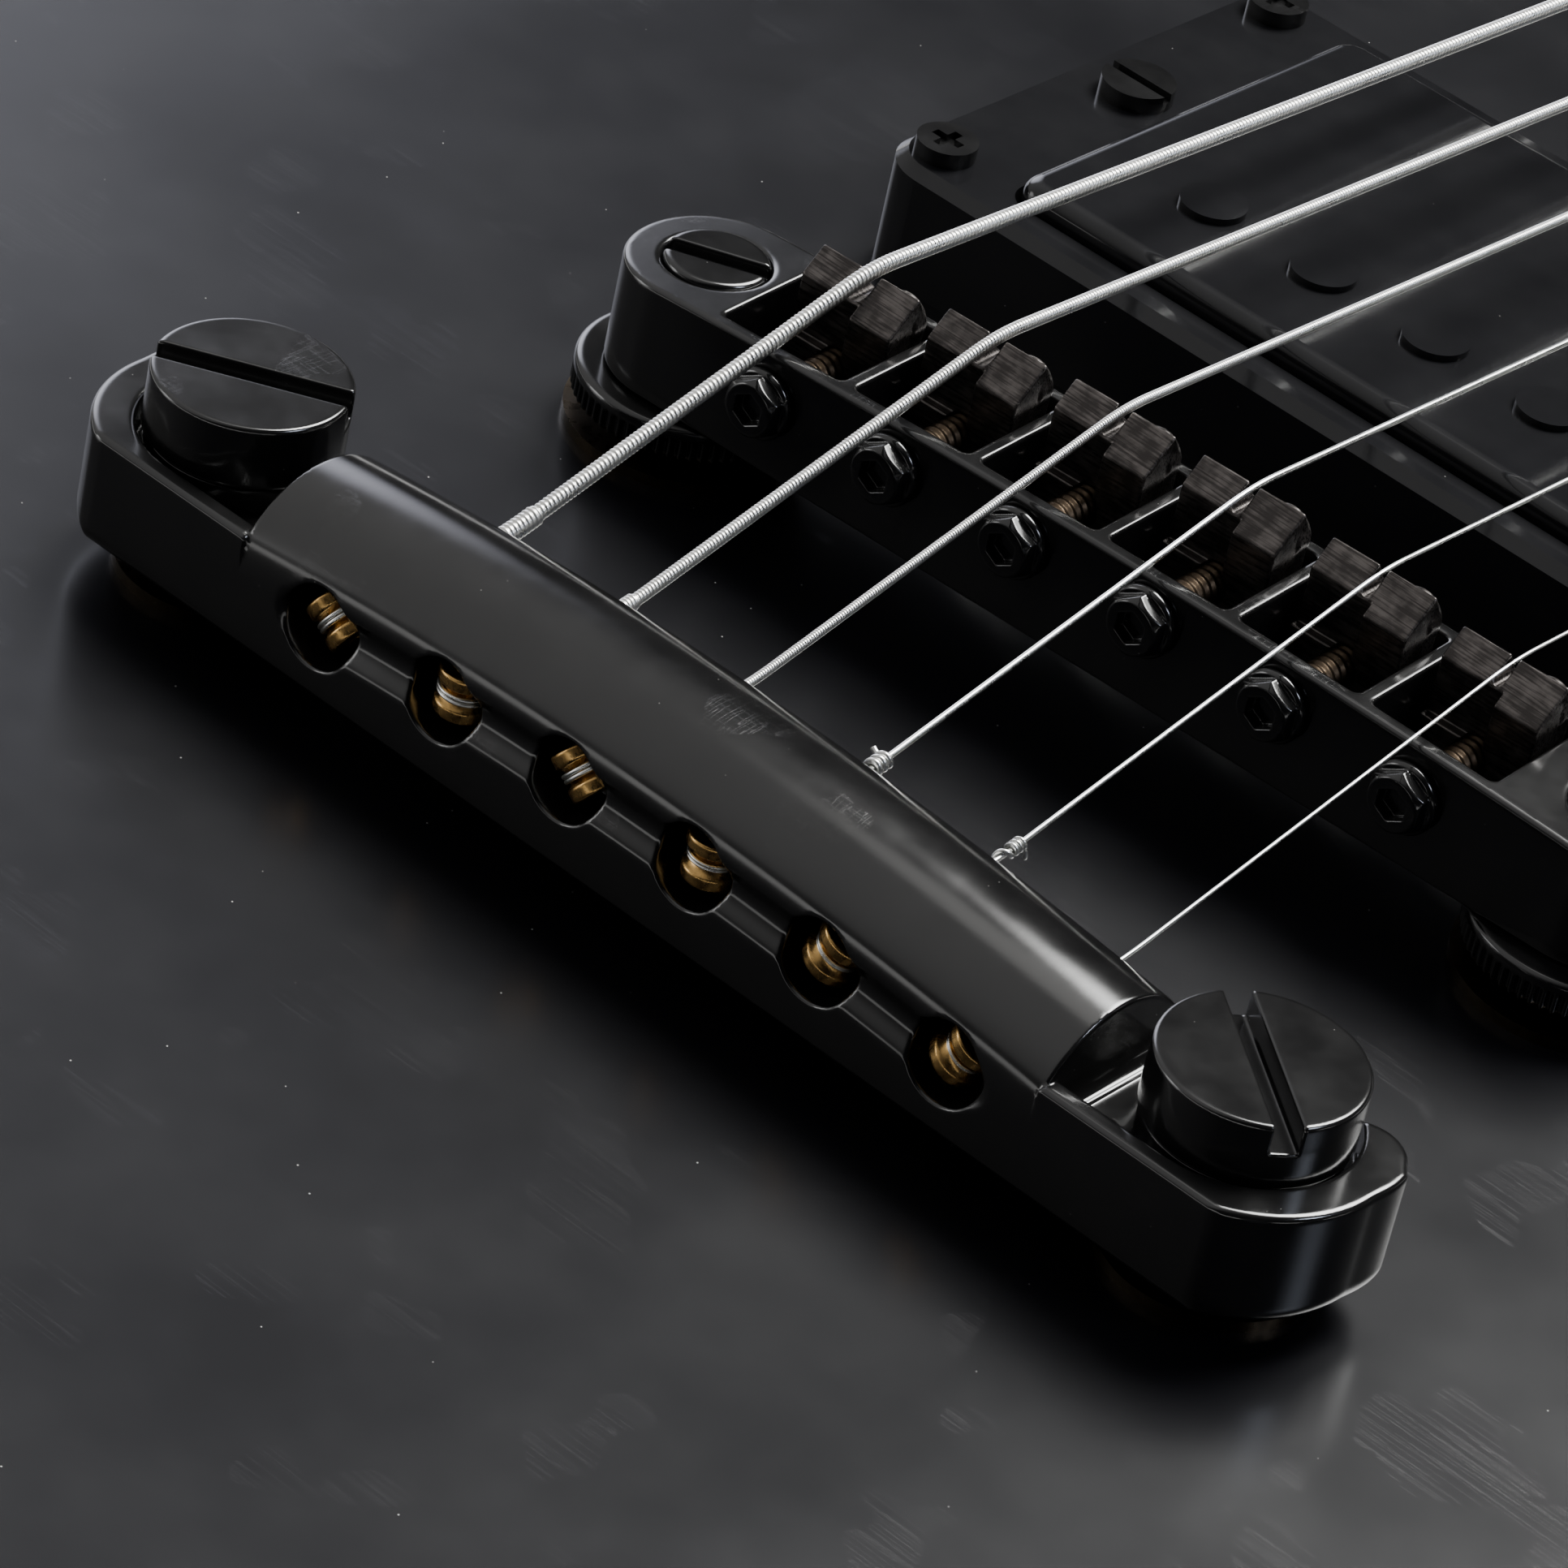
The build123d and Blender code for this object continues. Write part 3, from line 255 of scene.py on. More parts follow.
def carved(name, distance, low, high, step, place):
    return to_object(name, *skin(distance, low, high, step), place)


def tube(path, radius, rings, sides):
    """Points, quads and end caps of a tube. path gives a point, and radius the size at each
    angle, both from the distance along it."""
    centres = np.array([path(s) for s in rings])
    tangents = np.gradient(centres, axis=0)
    tangents /= np.linalg.norm(tangents, axis=1, keepdims=True)
    side = np.cross(tangents[0], (0.0, 0.0, 1.0))
    if np.linalg.norm(side) < 0.1:
        side = np.cross(tangents[0], (0.0, 1.0, 0.0))
    angles = np.arange(sides) * 2 * math.pi / sides
    points = []
    for centre, tangent, s in zip(centres, tangents, rings):
        side = side - tangent * np.dot(side, tangent)
        side = side / np.linalg.norm(side)
        other = np.cross(tangent, side)
        size = radius(s, angles)
        along_side = (np.cos(angles) * size)[:, None] * side
        along_other = (np.sin(angles) * size)[:, None] * other
        points.append(centre + along_side + along_other)
    count = len(rings)
    ring, turn = np.meshgrid(np.arange(count - 1) * sides, np.arange(sides), indexing="ij")
    after = (turn + 1) % sides
    following = ring + sides
    quads = np.stack([ring + turn, ring + after, following + after, following + turn], -1).reshape(-1, 4)
    last = (count - 1) * sides
    return np.concatenate(points), quads, [range(sides)[::-1], range(last, last + sides)]


def tube_piece(name, path, radius, rings, sides, place):
    points, quads, caps = tube(path, radius, rings, sides)
    return to_object(name, points, quads, place, caps)


def joined(name, parts):
    """One object from several mesh objects."""
    whole = bpy.data.meshes.new(name)
    points, faces = [], []
    for part in parts:
        base = len(points)
        points += [vertex.co.copy() for vertex in part.data.vertices]
        faces += [[base + index for index in face.vertices] for face in part.data.polygons]
        bpy.data.objects.remove(part)
    whole.from_pydata(points, [], faces)
    whole.shade_smooth()
    piece = bpy.data.objects.new(name, whole)
    bpy.context.scene.collection.objects.link(piece)
    return piece


# ---- materials -----------------------------------------------------------------------
class Look:
    """A Principled material whose colour, roughness and bump come from procedural textures."""

    def __init__(self, name, colour, roughness, **sockets):
        self.material = bpy.data.materials.new(name)
        self.material.use_nodes = True
        self.tree = self.material.node_tree
        self.shader = self.tree.nodes["Principled BSDF"]
        self.shader.inputs["Base Color"].default_value = (*colour, 1)
        self.shader.inputs["Roughness"].default_value = roughness
        for socket, value in sockets.items():
            self.shader.inputs[socket.replace("_", " ")].default_value = value
        self.place = self.tree.nodes.new("ShaderNodeTexCoord").outputs["Object"]

    def node(self, kind, inputs=None, **settings):
        made = self.tree.nodes.new("ShaderNode" + kind)
        for key, value in settings.items():
            setattr(made, key, value)
        for key, value in (inputs or {}).items():
            if isinstance(value, bpy.types.NodeSocket):
                self.tree.links.new(value, made.inputs[key])
            else:
                made.inputs[key].default_value = value
        return made

    def stretched(self, scale, turn=0.0):
        """Object coordinates scaled differently along each axis, after a turn about Z."""
        made = self.node("Mapping", {"Vector": self.place, "Rotation": (0, 0, turn), "Scale": scale})
        return made.outputs[0]

    def noise(self, scale, detail=4.0, vector=None, rough=0.55):
        vector = vector or self.place
        return self.node("TexNoise", {"Vector": vector, "Scale": scale, "Detail": detail,
                                      "Roughness": rough}).outputs["Fac"]

    def ranged(self, value, low, high, to_low, to_high):
        return self.node("MapRange", {"Value": value, "From Min": low, "From Max": high,
                                      "To Min": to_low, "To Max": to_high}).outputs["Result"]

    def math(self, operation, a, b):
        return self.node("Math", {0: a, 1: b}, operation=operation).outputs[0]

    def mixed(self, share, a, b):
        """A colour between two, by a share."""
        made = self.node("Mix", {"Factor": share}, data_type="RGBA")
        for key, value in (("A", a), ("B", b)):
            socket = [s for s in made.inputs if s.name == key and s.type == "RGBA"][0]
            if isinstance(value, bpy.types.NodeSocket):
                self.tree.links.new(value, socket)
            else:
                socket.default_value = (*value, 1)
        return [s for s in made.outputs if s.type == "RGBA"][0]

    def specks(self, scale, size, rarity):
        """1 on small round specks in a few of the cells, and 0 elsewhere."""
        cells = self.node("TexVoronoi", {"Vector": self.place, "Scale": scale})
        near = self.math("LESS_THAN", cells.outputs["Distance"], size)
        red = self.node("SeparateColor", {"Color": cells.outputs["Color"]}).outputs[0]
        return self.math("MULTIPLY", near, self.math("GREATER_THAN", red, rarity))

    def scratches(self, scale, turn, cut):
        """1 on long fine lines along one direction, and 0 elsewhere."""
        lines = self.noise(1.0, 2.0, self.stretched(scale, turn))
        where = self.noise(90.0, 2.0)
        thin = self.math("LESS_THAN", self.math("ABSOLUTE", self.math("SUBTRACT", lines, 0.5), 0.0), cut)
        return self.math("MULTIPLY", thin, self.math("GREATER_THAN", where, 0.6))

    def colour(self, socket):
        self.tree.links.new(socket, self.shader.inputs["Base Color"])

    def roughness(self, socket):
        self.tree.links.new(socket, self.shader.inputs["Roughness"])

    def bump(self, height, depth, strength=1.0, normal=None):
        inputs = {"Height": height, "Distance": depth, "Strength": strength}
        if normal:
            inputs["Normal"] = normal
        made = self.node("Bump", inputs).outputs["Normal"]
        self.tree.links.new(made, self.shader.inputs["Normal"])
        return made


DUST = (0.35, 0.34, 0.32)


def gloss_lacquer():
    look = Look("gloss_lacquer", (0.0045, 0.0045, 0.0058), 0.05, Specular_IOR_Level=0.62)
    dust = look.specks(900.0, 0.05, 0.93)
    haze = look.noise(60.0, 5.0)
    look.colour(look.mixed(dust, (0.0045, 0.0045, 0.0058), DUST))
    look.roughness(look.math("MAXIMUM", look.ranged(haze, 0.3, 0.75, 0.2, 0.25),
                             look.math("MULTIPLY", dust, 0.6)))
    swirl = look.scratches((35.0, 2600.0, 900.0), 0.5, 0.004)
    look.bump(look.math("ADD", look.math("MULTIPLY", look.noise(55.0, 2.0), 0.4),
                        look.math("MULTIPLY", swirl, -0.06)), 0.00001)
    return look.material


def black_plate():
    """Black plated hardware: a deep soft gloss with hairline scratches and dust."""
    look = Look("black_plate", (0.006, 0.006, 0.0062), 0.16, Specular_IOR_Level=0.95)
    dust = look.specks(1500.0, 0.045, 0.95)
    hair = look.math("MAXIMUM", look.scratches((120.0, 3500.0, 900.0), 0.35, 0.0025),
                     look.scratches((3000.0, 110.0, 900.0), 0.2, 0.002))
    stain = look.noise(240.0, 5.0)
    marks = look.math("MAXIMUM", dust, look.math("MULTIPLY", hair, 0.05))
    look.colour(look.mixed(marks, look.mixed(stain, (0.004, 0.004, 0.0042), (0.0085, 0.0083, 0.0082)), DUST))
    look.roughness(look.math("MAXIMUM", look.ranged(stain, 0.3, 0.7, 0.12, 0.19),
                             look.math("MULTIPLY", hair, 0.2)))
    grain = look.math("ADD", look.math("MULTIPLY", look.noise(900.0, 3.0), 0.5),
                      look.math("MULTIPLY", hair, -0.15))
    look.bump(grain, 0.000004)
    return look.material


def worn_saddle():
    """Satin dark plate rubbed to brownish grey, with file marks along the ridge."""
    look = Look("worn_saddle", (0.1, 0.09, 0.085), 0.3, Metallic=0.9)
    grain = look.noise(1.0, 5.0, look.stretched((250.0, 9000.0, 5000.0)))
    worn = look.noise(700.0, 6.0)
    scuff = look.ranged(look.math("MULTIPLY", grain, worn), 0.2, 0.36, 0.0, 1.0)
    look.colour(look.mixed(scuff, (0.05, 0.045, 0.043), (0.15, 0.135, 0.128)))
    look.roughness(look.ranged(grain, 0.3, 0.7, 0.22, 0.38))
    look.bump(grain, 0.00001)
    return look.material


def string_metal(name, colour, roughness):
    look = Look(name, colour, roughness, Metallic=1.0)
    tarnish = look.noise(700.0, 4.0)
    dark = tuple(0.78 * c for c in colour)
    look.colour(look.mixed(look.ranged(tarnish, 0.45, 0.8, 0.0, 1.0), colour, dark))
    look.roughness(look.ranged(tarnish, 0.3, 0.7, roughness, roughness + 0.14))
    look.bump(look.noise(6000.0, 2.0), 0.000003)
    return look.material


def plain_metal(name, colour, roughness, dark=0.5, scale=800.0, streak=(1.0, 1.0, 1.0)):
    """A metal with stains and fine machining streaks."""
    look = Look(name, colour, roughness, Metallic=1.0)
    stain = look.noise(scale, 5.0)
    lines = look.noise(1.0, 3.0, look.stretched([scale * part for part in streak]))
    look.colour(look.mixed(look.ranged(stain, 0.4, 0.75, 0.0, 1.0), colour, tuple(dark * c for c in colour)))
    look.roughness(look.ranged(lines, 0.3, 0.7, roughness * 0.75, roughness * 1.3))
    look.bump(lines, 0.000006)
    return look.material


def black_plastic(name, roughness, grain):
    look = Look(name, (0.010, 0.010, 0.011), roughness, Specular_IOR_Level=0.5)
    dust = look.specks(1100.0, 0.045, 0.94)
    cloud = look.noise(150.0, 5.0)
    look.colour(look.mixed(dust, look.mixed(cloud, (0.007, 0.007, 0.008), (0.013, 0.013, 0.014)), DUST))
    look.roughness(look.ranged(cloud, 0.3, 0.7, roughness * 0.8, roughness * 1.3))
    look.bump(look.noise(2500.0, 3.0), grain)
    return look.material


def board_wood():
    look = Look("board_wood", (0.05, 0.03, 0.02), 0.45)
    figure = look.noise(1.0, 6.0, look.stretched((700.0, 18.0, 500.0)), 0.65)
    pores = look.noise(1.0, 3.0, look.stretched((3500.0, 160.0, 2500.0)))
    look.colour(look.mixed(look.ranged(figure, 0.35, 0.7, 0.0, 1.0),
                           (0.016, 0.010, 0.008), (0.075, 0.043, 0.027)))
    look.roughness(look.ranged(figure, 0.3, 0.7, 0.38, 0.55))
    look.bump(look.ranged(pores, 0.42, 0.5, 0.0, 1.0), 0.00006, 0.6)
    return look.material


def pearl():
    look = Look("pearl", (0.8, 0.8, 0.76), 0.22)
    drift = look.noise(1.0, 4.0, look.stretched((260.0, 90.0, 200.0), 0.4))
    look.colour(look.mixed(look.ranged(drift, 0.35, 0.65, 0.0, 1.0), (0.62, 0.64, 0.62), (0.86, 0.84, 0.78)))
    look.roughness(look.ranged(drift, 0.3, 0.7, 0.15, 0.3))
    return look.material


def braided_lead():
    look = Look("braided_lead", (0.2, 0.19, 0.16), 0.6)
    weave = look.noise(2200.0, 3.0)
    look.colour(look.mixed(weave, (0.05, 0.045, 0.04), (0.33, 0.3, 0.25)))
    look.bump(weave, 0.0001)
    return look.material


LACQUER = gloss_lacquer()
PLATE = black_plate()
SADDLE = worn_saddle()
NICKEL = string_metal("wound_nickel", (0.97, 0.96, 0.92), 0.26)
PLAIN_STEEL = string_metal("plain_string_steel", (0.93, 0.93, 0.90), 0.22)
BRASS = plain_metal("ball_brass", (0.76, 0.47, 0.17), 0.27, dark=0.45, scale=1500.0, streak=(1, 4, 1))
SCREW_BRASS = plain_metal("dark_screw_brass", (0.085, 0.062, 0.042), 0.42, dark=0.5, scale=1500.0)
BRONZE = plain_metal("dark_bronze", (0.11, 0.085, 0.055), 0.3, dark=0.4)
STEEL = plain_metal("plain_steel", (0.55, 0.55, 0.56), 0.3, dark=0.7)
FRET_SILVER = plain_metal("fret_silver", (0.75, 0.73, 0.69), 0.2, dark=0.7, scale=400.0, streak=(8, 1, 1))
RING_PLASTIC = black_plastic("ring_plastic", 0.11, 0.000002)
SATIN_PLASTIC = black_plastic("satin_plastic", 0.3, 0.00001)
WOOD = board_wood()
PEARL = pearl()
LEAD = braided_lead()

# ---- sizes that the pieces share with the frame, in millimetres ----------------------
STRING_RADII = (0.584, 0.457, 0.330, 0.216, 0.165, 0.127)
WOUND_COUNT = 3
STRING_ARCH = 305.0
STRING_REST_Z = 17.2
STRING_BEND = 2.4
SADDLE_PITCH = 10.45
TAIL_PITCH = 10.29
NUT_PITCH = 7.1
NUT_RISE = 1.6
STUD_SPACING = 82.5
TAIL_ARCH = 270.0
BAR_BOTTOM = 2.6
BAR_HALF = 32.7
BAR_LIP_Z = 7.9
DOME_CENTRE = (-2.0, 8.4)
DOME_RADIUS = 7.3
EAR_OUTER = 50.6
EAR_REAR = -8.6
EAR_BOTTOM = 2.3
EAR_TOP = 10.6
HOLE_Z = 9.0
HOLE_RADIUS = 2.78
BALL_Y = -6.0
BALL_RADIUS = 1.9
BALL_LEANS = (-58, 0, -52, 0, 25, 33)
CAP_RADIUS = 6.47
CAP_TOP = 14.6
CAP_TURNS = (31.0, -37.0)
POCKET_RADIUS = 7.2
POCKET_SHIFT = 0.5
BOTTOM_ROUND = 1.6
POCKET_FLOOR = 8.2
COVE_RADIUS = 1.3
SLOT_RADIUS = 4.15
HOOK = (6.0, 2.9, 2.9)
BRIDGE_HALF_LENGTH = 43.0
BRIDGE_END_RADIUS = 6.1
BRIDGE_HALF_WIDTH = 6.2
BRIDGE_TOP = 13.9
BRIDGE_ARCH = 700.0
POCKET_ENDS = (-31.4, 31.0)
WELL_HALF = 4.7
LEDGE_TOP = 6.5
REAR_WALL = 1.15
FRONT_WALL = 1.05
SCREW_Z = 10.9
SCREW_RADIUS = 1.25
SCREW_PITCH = 0.7
SADDLE_HALF = 4.1
SADDLE_FRONT = 4.3
SADDLE_REAR = 0.4
RIDGE_Y = 3.0
NOTCH_DEPTH = 1.0
NOTCH_ROOM = 0.2
WHEEL_RADIUS = 8.0
WHEEL_BOTTOM = 2.1
WHEEL_TEETH = 66
POST_SPACING = 73.8
POST_HEAD_RADIUS = 3.6

strings = range(len(STRING_RADII))


def spread(index, pitch):
    """X of a string when the six are spaced evenly at this pitch."""
    return (index - (len(STRING_RADII) - 1) / 2) * pitch


def arch_drop(x, radius):
    return radius - math.sqrt(radius * radius - x * x)


def ridge_z(index):
    return STRING_REST_Z - arch_drop(spread(index, SADDLE_PITCH), STRING_ARCH)


def screw_z(index):
    return SCREW_Z - arch_drop(spread(index, SADDLE_PITCH), STRING_ARCH)


# ---- tailpiece -----------------------------------------------------------------------
def bar(x, y, z):
    """Domed bar, arched along its length."""
    centre_z = BAR_BOTTOM - TAIL_ARCH
    arched = length(x, z - centre_z) + centre_z
    dome = both(disc(y - DOME_CENTRE[0], arched - DOME_CENTRE[1], DOME_RADIUS), EAR_REAR - y, 0.6)
    dome = both(dome, abs(x) - BAR_HALF, 0.15)
    front = both(between(y, EAR_REAR, 2.0), between(arched, 5.0, 10.4), 0.4)
    front = both(front, abs(x) - BAR_HALF - 1.0)
    sill = both(both(between(y, EAR_REAR, 7.4), arched - BAR_LIP_Z, 0.6), abs(x) - BAR_HALF - 2.0)
    metal = np.minimum(np.minimum(dome, front), sill)
    channel = length(y + 9.15, arched - 9.28, np.maximum(abs(x) - 27.3, 0)) - 1.4
    metal = less(metal, channel, 0.8)
    return both(both(metal, BAR_BOTTOM - arched, 0.5), EAR_BOTTOM - z, BOTTOM_ROUND)


def lug(x, y, z):
    """End lug with a slot open toward the neck, a pocket for the cap and a hook round the stud."""
    far = abs(x)
    stud = far - STUD_SPACING / 2
    end = both(disc(stud + 0.15, y + 0.3, EAR_OUTER + 0.15 - STUD_SPACING / 2), y - HOOK[1])
    plan = both(either(end, disc(stud - HOOK[0], y - HOOK[1], HOOK[2]), 1.6), EAR_REAR - y, 0.3)
    inner = both(both(stud, EAR_REAR - y), y - 5.6 + 0.04 * far, 0.6)
    plan = both(np.minimum(plan, inner), BAR_HALF - 0.2 - far)
    ear = both(both(plan, z - EAR_TOP, 0.42), EAR_BOTTOM - z, BOTTOM_ROUND)
    pocket = both(capsule(y, stud, -20, -POCKET_SHIFT, POCKET_RADIUS), POCKET_FLOOR - z)
    slot = capsule(stud, y, 0, 30, SLOT_RADIUS)
    return less(less(ear, pocket, 0.2), slot, 0.25)


def tailpiece(x, y, z):
    """Bar and lugs, with a concave strip where the bar meets the pocket floor, and the string holes."""
    wall, level = BAR_HALF + COVE_RADIUS, POCKET_FLOOR + COVE_RADIUS
    hollow = length(np.maximum(wall - abs(x), 0), np.maximum(level - z, 0)) - COVE_RADIUS
    cove = both(-hollow, between(abs(x), BAR_HALF - 0.2, wall))
    cove = both(cove, between(z, 7.0, level))
    cove = both(cove, between(y, -7.6, 4.2), 0.3)
    metal = np.minimum(np.minimum(bar(x, y, z), lug(x, y, z)), cove)
    for index in strings:
        hole_x = spread(index, TAIL_PITCH)
        hole_z = HOLE_Z - arch_drop(hole_x, TAIL_ARCH)
        well = both(disc(x - hole_x, z - hole_z, HOLE_RADIUS), y - BALL_Y - BALL_RADIUS)
        bore = disc(x - hole_x, z - hole_z, 1.3)
        metal = less(metal, np.minimum(well, bore), 0.2)
    return metal


def make_tailpiece():
    low, high = (-EAR_OUTER, -9.6, EAR_BOTTOM), (EAR_OUTER, 8.6, 15.8)
    piece = carved("tailpiece_bar", tailpiece, low, high, 0.17, TAIL)
    finish_piece(piece, PLATE, "black_hardware", "guitar", "tailpiece")


def cap(x, y, z, turn):
    """Slotted locking cap: a disc with a slot, a fine groove and a narrower collar."""
    angle = math.radians(turn)
    across = y * math.cos(angle) - x * math.sin(angle)
    head = both(disc(x, y, CAP_RADIUS), between(z, 10.1, CAP_TOP), 0.3)
    collar = both(disc(x, y, CAP_RADIUS - 0.25), between(z, POCKET_FLOOR + 0.05, 9.98), 0.12)
    core = both(disc(x, y, CAP_RADIUS - 0.55), between(z, 9, 12))
    slot = both(abs(across) - 0.875, CAP_TOP - 1.9 - z, 0.15)
    bore = both(disc(x, y, 3.05), z - CAP_TOP + 2.3)
    return less(less(np.minimum(np.minimum(head, collar), core), slot, 0.12), bore)


def make_caps():
    parts = []
    for side, turn in zip((-1, 1), CAP_TURNS):
        place = TAIL @ Matrix.Translation((side * STUD_SPACING / 2, 0, 0))
        size = CAP_RADIUS
        parts.append(carved(f"cap_{side}", lambda x, y, z, turn=turn: cap(x, y, z, turn),
                            (-size, -size, POCKET_FLOOR), (size, size, CAP_TOP), 0.13, place))
    finish_piece(joined("slotted_caps", parts), PLATE, "black_hardware", "guitar", "tailpiece_caps")


# ---- bridge --------------------------------------------------------------------------
def rounded_pocket(x, y, low_x, high_x, low_y, high_y, corner):
    return both(between(x, low_x, high_x), between(y, low_y, high_y), corner)


def bridge_frame(x, y, z):
    """Cast frame with a well for each saddle, ribs between them, and low ledges in each well."""
    centre_z = BRIDGE_TOP - BRIDGE_ARCH
    crown = length(x, z - centre_z) + centre_z - BRIDGE_TOP
    low_x, high_x = BRIDGE_SHIFT - BRIDGE_HALF_LENGTH, BRIDGE_SHIFT + BRIDGE_HALF_LENGTH
    plan = rounded_pocket(x, y, low_x, high_x, -BRIDGE_HALF_WIDTH, BRIDGE_HALF_WIDTH, BRIDGE_END_RADIUS)
    metal = both(both(plan, crown, 0.35), BRIDGE_BOTTOM - z, 0.4)
    low_y, high_y = -BRIDGE_HALF_WIDTH + REAR_WALL, BRIDGE_HALF_WIDTH - FRONT_WALL
    for index in strings:
        middle = spread(index, SADDLE_PITCH)
        start = POCKET_ENDS[0] if index == 0 else middle - WELL_HALF
        end = POCKET_ENDS[1] if index == len(STRING_RADII) - 1 else middle + WELL_HALF
        well = both(rounded_pocket(x, y, start, end, low_y, high_y, 0.55), BRIDGE_BOTTOM + 1.0 - z, 0.3)
        ledge = both(both(middle + 2.1 - x, y + 0.9, 0.3), z - LEDGE_TOP, 0.2)
        shelf = both(both(x - middle + 2.4, y + 2.4, 0.3), z - LEDGE_TOP, 0.2)
        metal = less(metal, less(well, np.minimum(ledge, shelf)), 0.2)
        hole = both(disc(x - middle, z - screw_z(index), SCREW_RADIUS + 0.05), y - low_y - 0.5)
        tip = both(disc(x - middle, z - screw_z(index), 0.85), high_y - 1 - y)
        metal = less(metal, np.minimum(hole, tip))
    for side in (-1, 1):
        metal = less(metal, disc(x - post_x(side), y, POST_HEAD_RADIUS + 0.06), 0.3)
    return metal


def post_x(side):
    """Place of a bridge post along the bridge, -1 at the bass end and 1 at the treble end."""
    return BRIDGE_SHIFT + side * POST_SPACING / 2


def make_bridge_frame():
    low = (BRIDGE_SHIFT - BRIDGE_HALF_LENGTH, -BRIDGE_HALF_WIDTH, BRIDGE_BOTTOM)
    high = (BRIDGE_SHIFT + BRIDGE_HALF_LENGTH, BRIDGE_HALF_WIDTH, BRIDGE_TOP)
    piece = carved("bridge_casting", bridge_frame, low, high, 0.17, BRIDGE)
    finish_piece(piece, PLATE, "black_hardware", "bridge", "bridge_frame")


def slope(y, z, start, end):
    """Distance above the line from one (y, z) point to another."""
    run, rise = end[0] - start[0], end[1] - start[1]
    return ((z - start[1]) * run - (y - start[0]) * rise) / math.hypot(run, rise)


def saddle(x, y, z, index):
    """Wedge with a notched ridge, a steep front and a round boss beside the notch."""
    ridge = ridge_z(index) + 0.25
    wedge = both(slope(y, z, (SADDLE_REAR, ridge - 2.1), (RIDGE_Y - 0.1, ridge)),
                 slope(y, z, (RIDGE_Y + 0.1, ridge), (SADDLE_FRONT, ridge - 1.9)), 0.12)
    block = both(between(y, SADDLE_REAR, SADDLE_FRONT), BRIDGE_BOTTOM + 1.9 - z)
    body = both(both(wedge, block, 0.12), abs(x) - SADDLE_HALF, 0.14)
    boss = both(disc(x - 2.5, z - ridge + 2.3, 1.75), between(y, RIDGE_Y - 0.1, SADDLE_FRONT), 0.25)
    body = either(body, boss, 0.15)
    recess = both(both(x - 0.7, y - SADDLE_REAR - 0.8), ridge - 5.5 - z)
    body = less(body, recess, 0.12)
    radius = STRING_RADII[index]
    notch = capsule(x, z, ridge_z(index) + radius - NOTCH_DEPTH, ridge_z(index) + 9, radius + NOTCH_ROOM)
    bore = disc(x, z - screw_z(index), SCREW_RADIUS + 0.04)
    return less(less(body, notch, 0.12), bore, 0.1)


def saddle_screw(x, y, z):
    """Flanged hex head behind the wall, with a hex socket, a threaded shank and a plain tip."""
    wall = -BRIDGE_HALF_WIDTH
    reach = length(x, z)
    turn = np.arctan2(z, x) / (2 * math.pi)
    ridge = abs(((y / SCREW_PITCH - turn) % 1.0) - 0.5)
    shank_run = between(y, wall - 0.1, BRIDGE_HALF_WIDTH - FRONT_WALL - 0.1)
    shank = both(reach - SCREW_RADIUS + 0.3 * ridge, shank_run, 0.1)
    flange = both(reach - 2.5, between(y, wall - 0.75, wall - 0.02), 0.35)
    head = both(hexagon(z, x, 1.95), between(y, wall - 1.75, wall - 0.3), 0.14)
    head = both(head, reach - 2.2 + (wall - 1.35 - y), 0.1)
    socket = both(hexagon(z, x, 1.02), y - wall + 0.9, 0.05)
    tip = both(reach - 0.8, between(y, 0, BRIDGE_HALF_WIDTH - 0.5), 0.15)
    head = less(np.minimum(head, flange), socket, 0.1)
    return np.minimum(np.minimum(shank, head), tip)


def make_saddles():
    for index in strings:
        number = index + 1
        place = BRIDGE @ Matrix.Translation((spread(index, SADDLE_PITCH), 0, 0))
        top = ridge_z(index) + 0.6
        piece = carved(f"saddle_block_{number}", lambda x, y, z, index=index: saddle(x, y, z, index),
                       (-SADDLE_HALF - 0.3, SADDLE_REAR, BRIDGE_BOTTOM + 1.9),
                       (SADDLE_HALF + 0.3, SADDLE_FRONT, top), 0.1, place)
        finish_piece(piece, SADDLE, "saddle_metal", f"saddle_{number}", f"saddle_{number}")
        lift = Matrix.Translation((0, 0, screw_z(index)))
        piece = carved(f"intonation_screw_{number}", saddle_screw, (-2.6, -BRIDGE_HALF_WIDTH - 1.8, -2.6),
                       (2.6, BRIDGE_HALF_WIDTH, 2.6), 0.09, place @ lift)
        piece.data.materials.append(PLATE)
        piece.data.materials.append(SCREW_BRASS)
        head_end = -BRIDGE_HALF_WIDTH - 0.05
        inverse = (place @ lift).inverted()
        for face in piece.data.polygons:
            face.material_index = int((inverse @ face.center).y > head_end)
        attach(piece, f"saddle_screw_{number}")
        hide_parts(f"saddle_screw_{number}")


def bridge_post(x, y, z):
    """Post with a knurled thumbwheel under the frame and a slotted head."""
    reach = length(x, y)
    angle = np.arctan2(y, x)
    knurl = 0.17 * (1 - np.cos(angle * WHEEL_TEETH)) * np.clip((3.9 - z) / 0.3, 0, 1)
    wheel = both((reach - WHEEL_RADIUS + knurl) * 0.9, between(z, WHEEL_BOTTOM, BRIDGE_BOTTOM - 0.05), 0.45)
    thread = both(reach - 4.0 + 0.35 * abs(((z / 1.25 - angle / (2 * math.pi)) % 1.0) - 0.5) * 0.9,
                  between(z, -22, WHEEL_BOTTOM + 0.4))
    head = both(reach - POST_HEAD_RADIUS, between(z, 2, BRIDGE_TOP - 0.6), 0.4)
    turn = math.radians(25)
    slot = both(abs(y * math.cos(turn) - x * math.sin(turn)) - 0.7, BRIDGE_TOP - 1.6 - z)
    return np.minimum(np.minimum(wheel, thread), less(head, slot, 0.15))


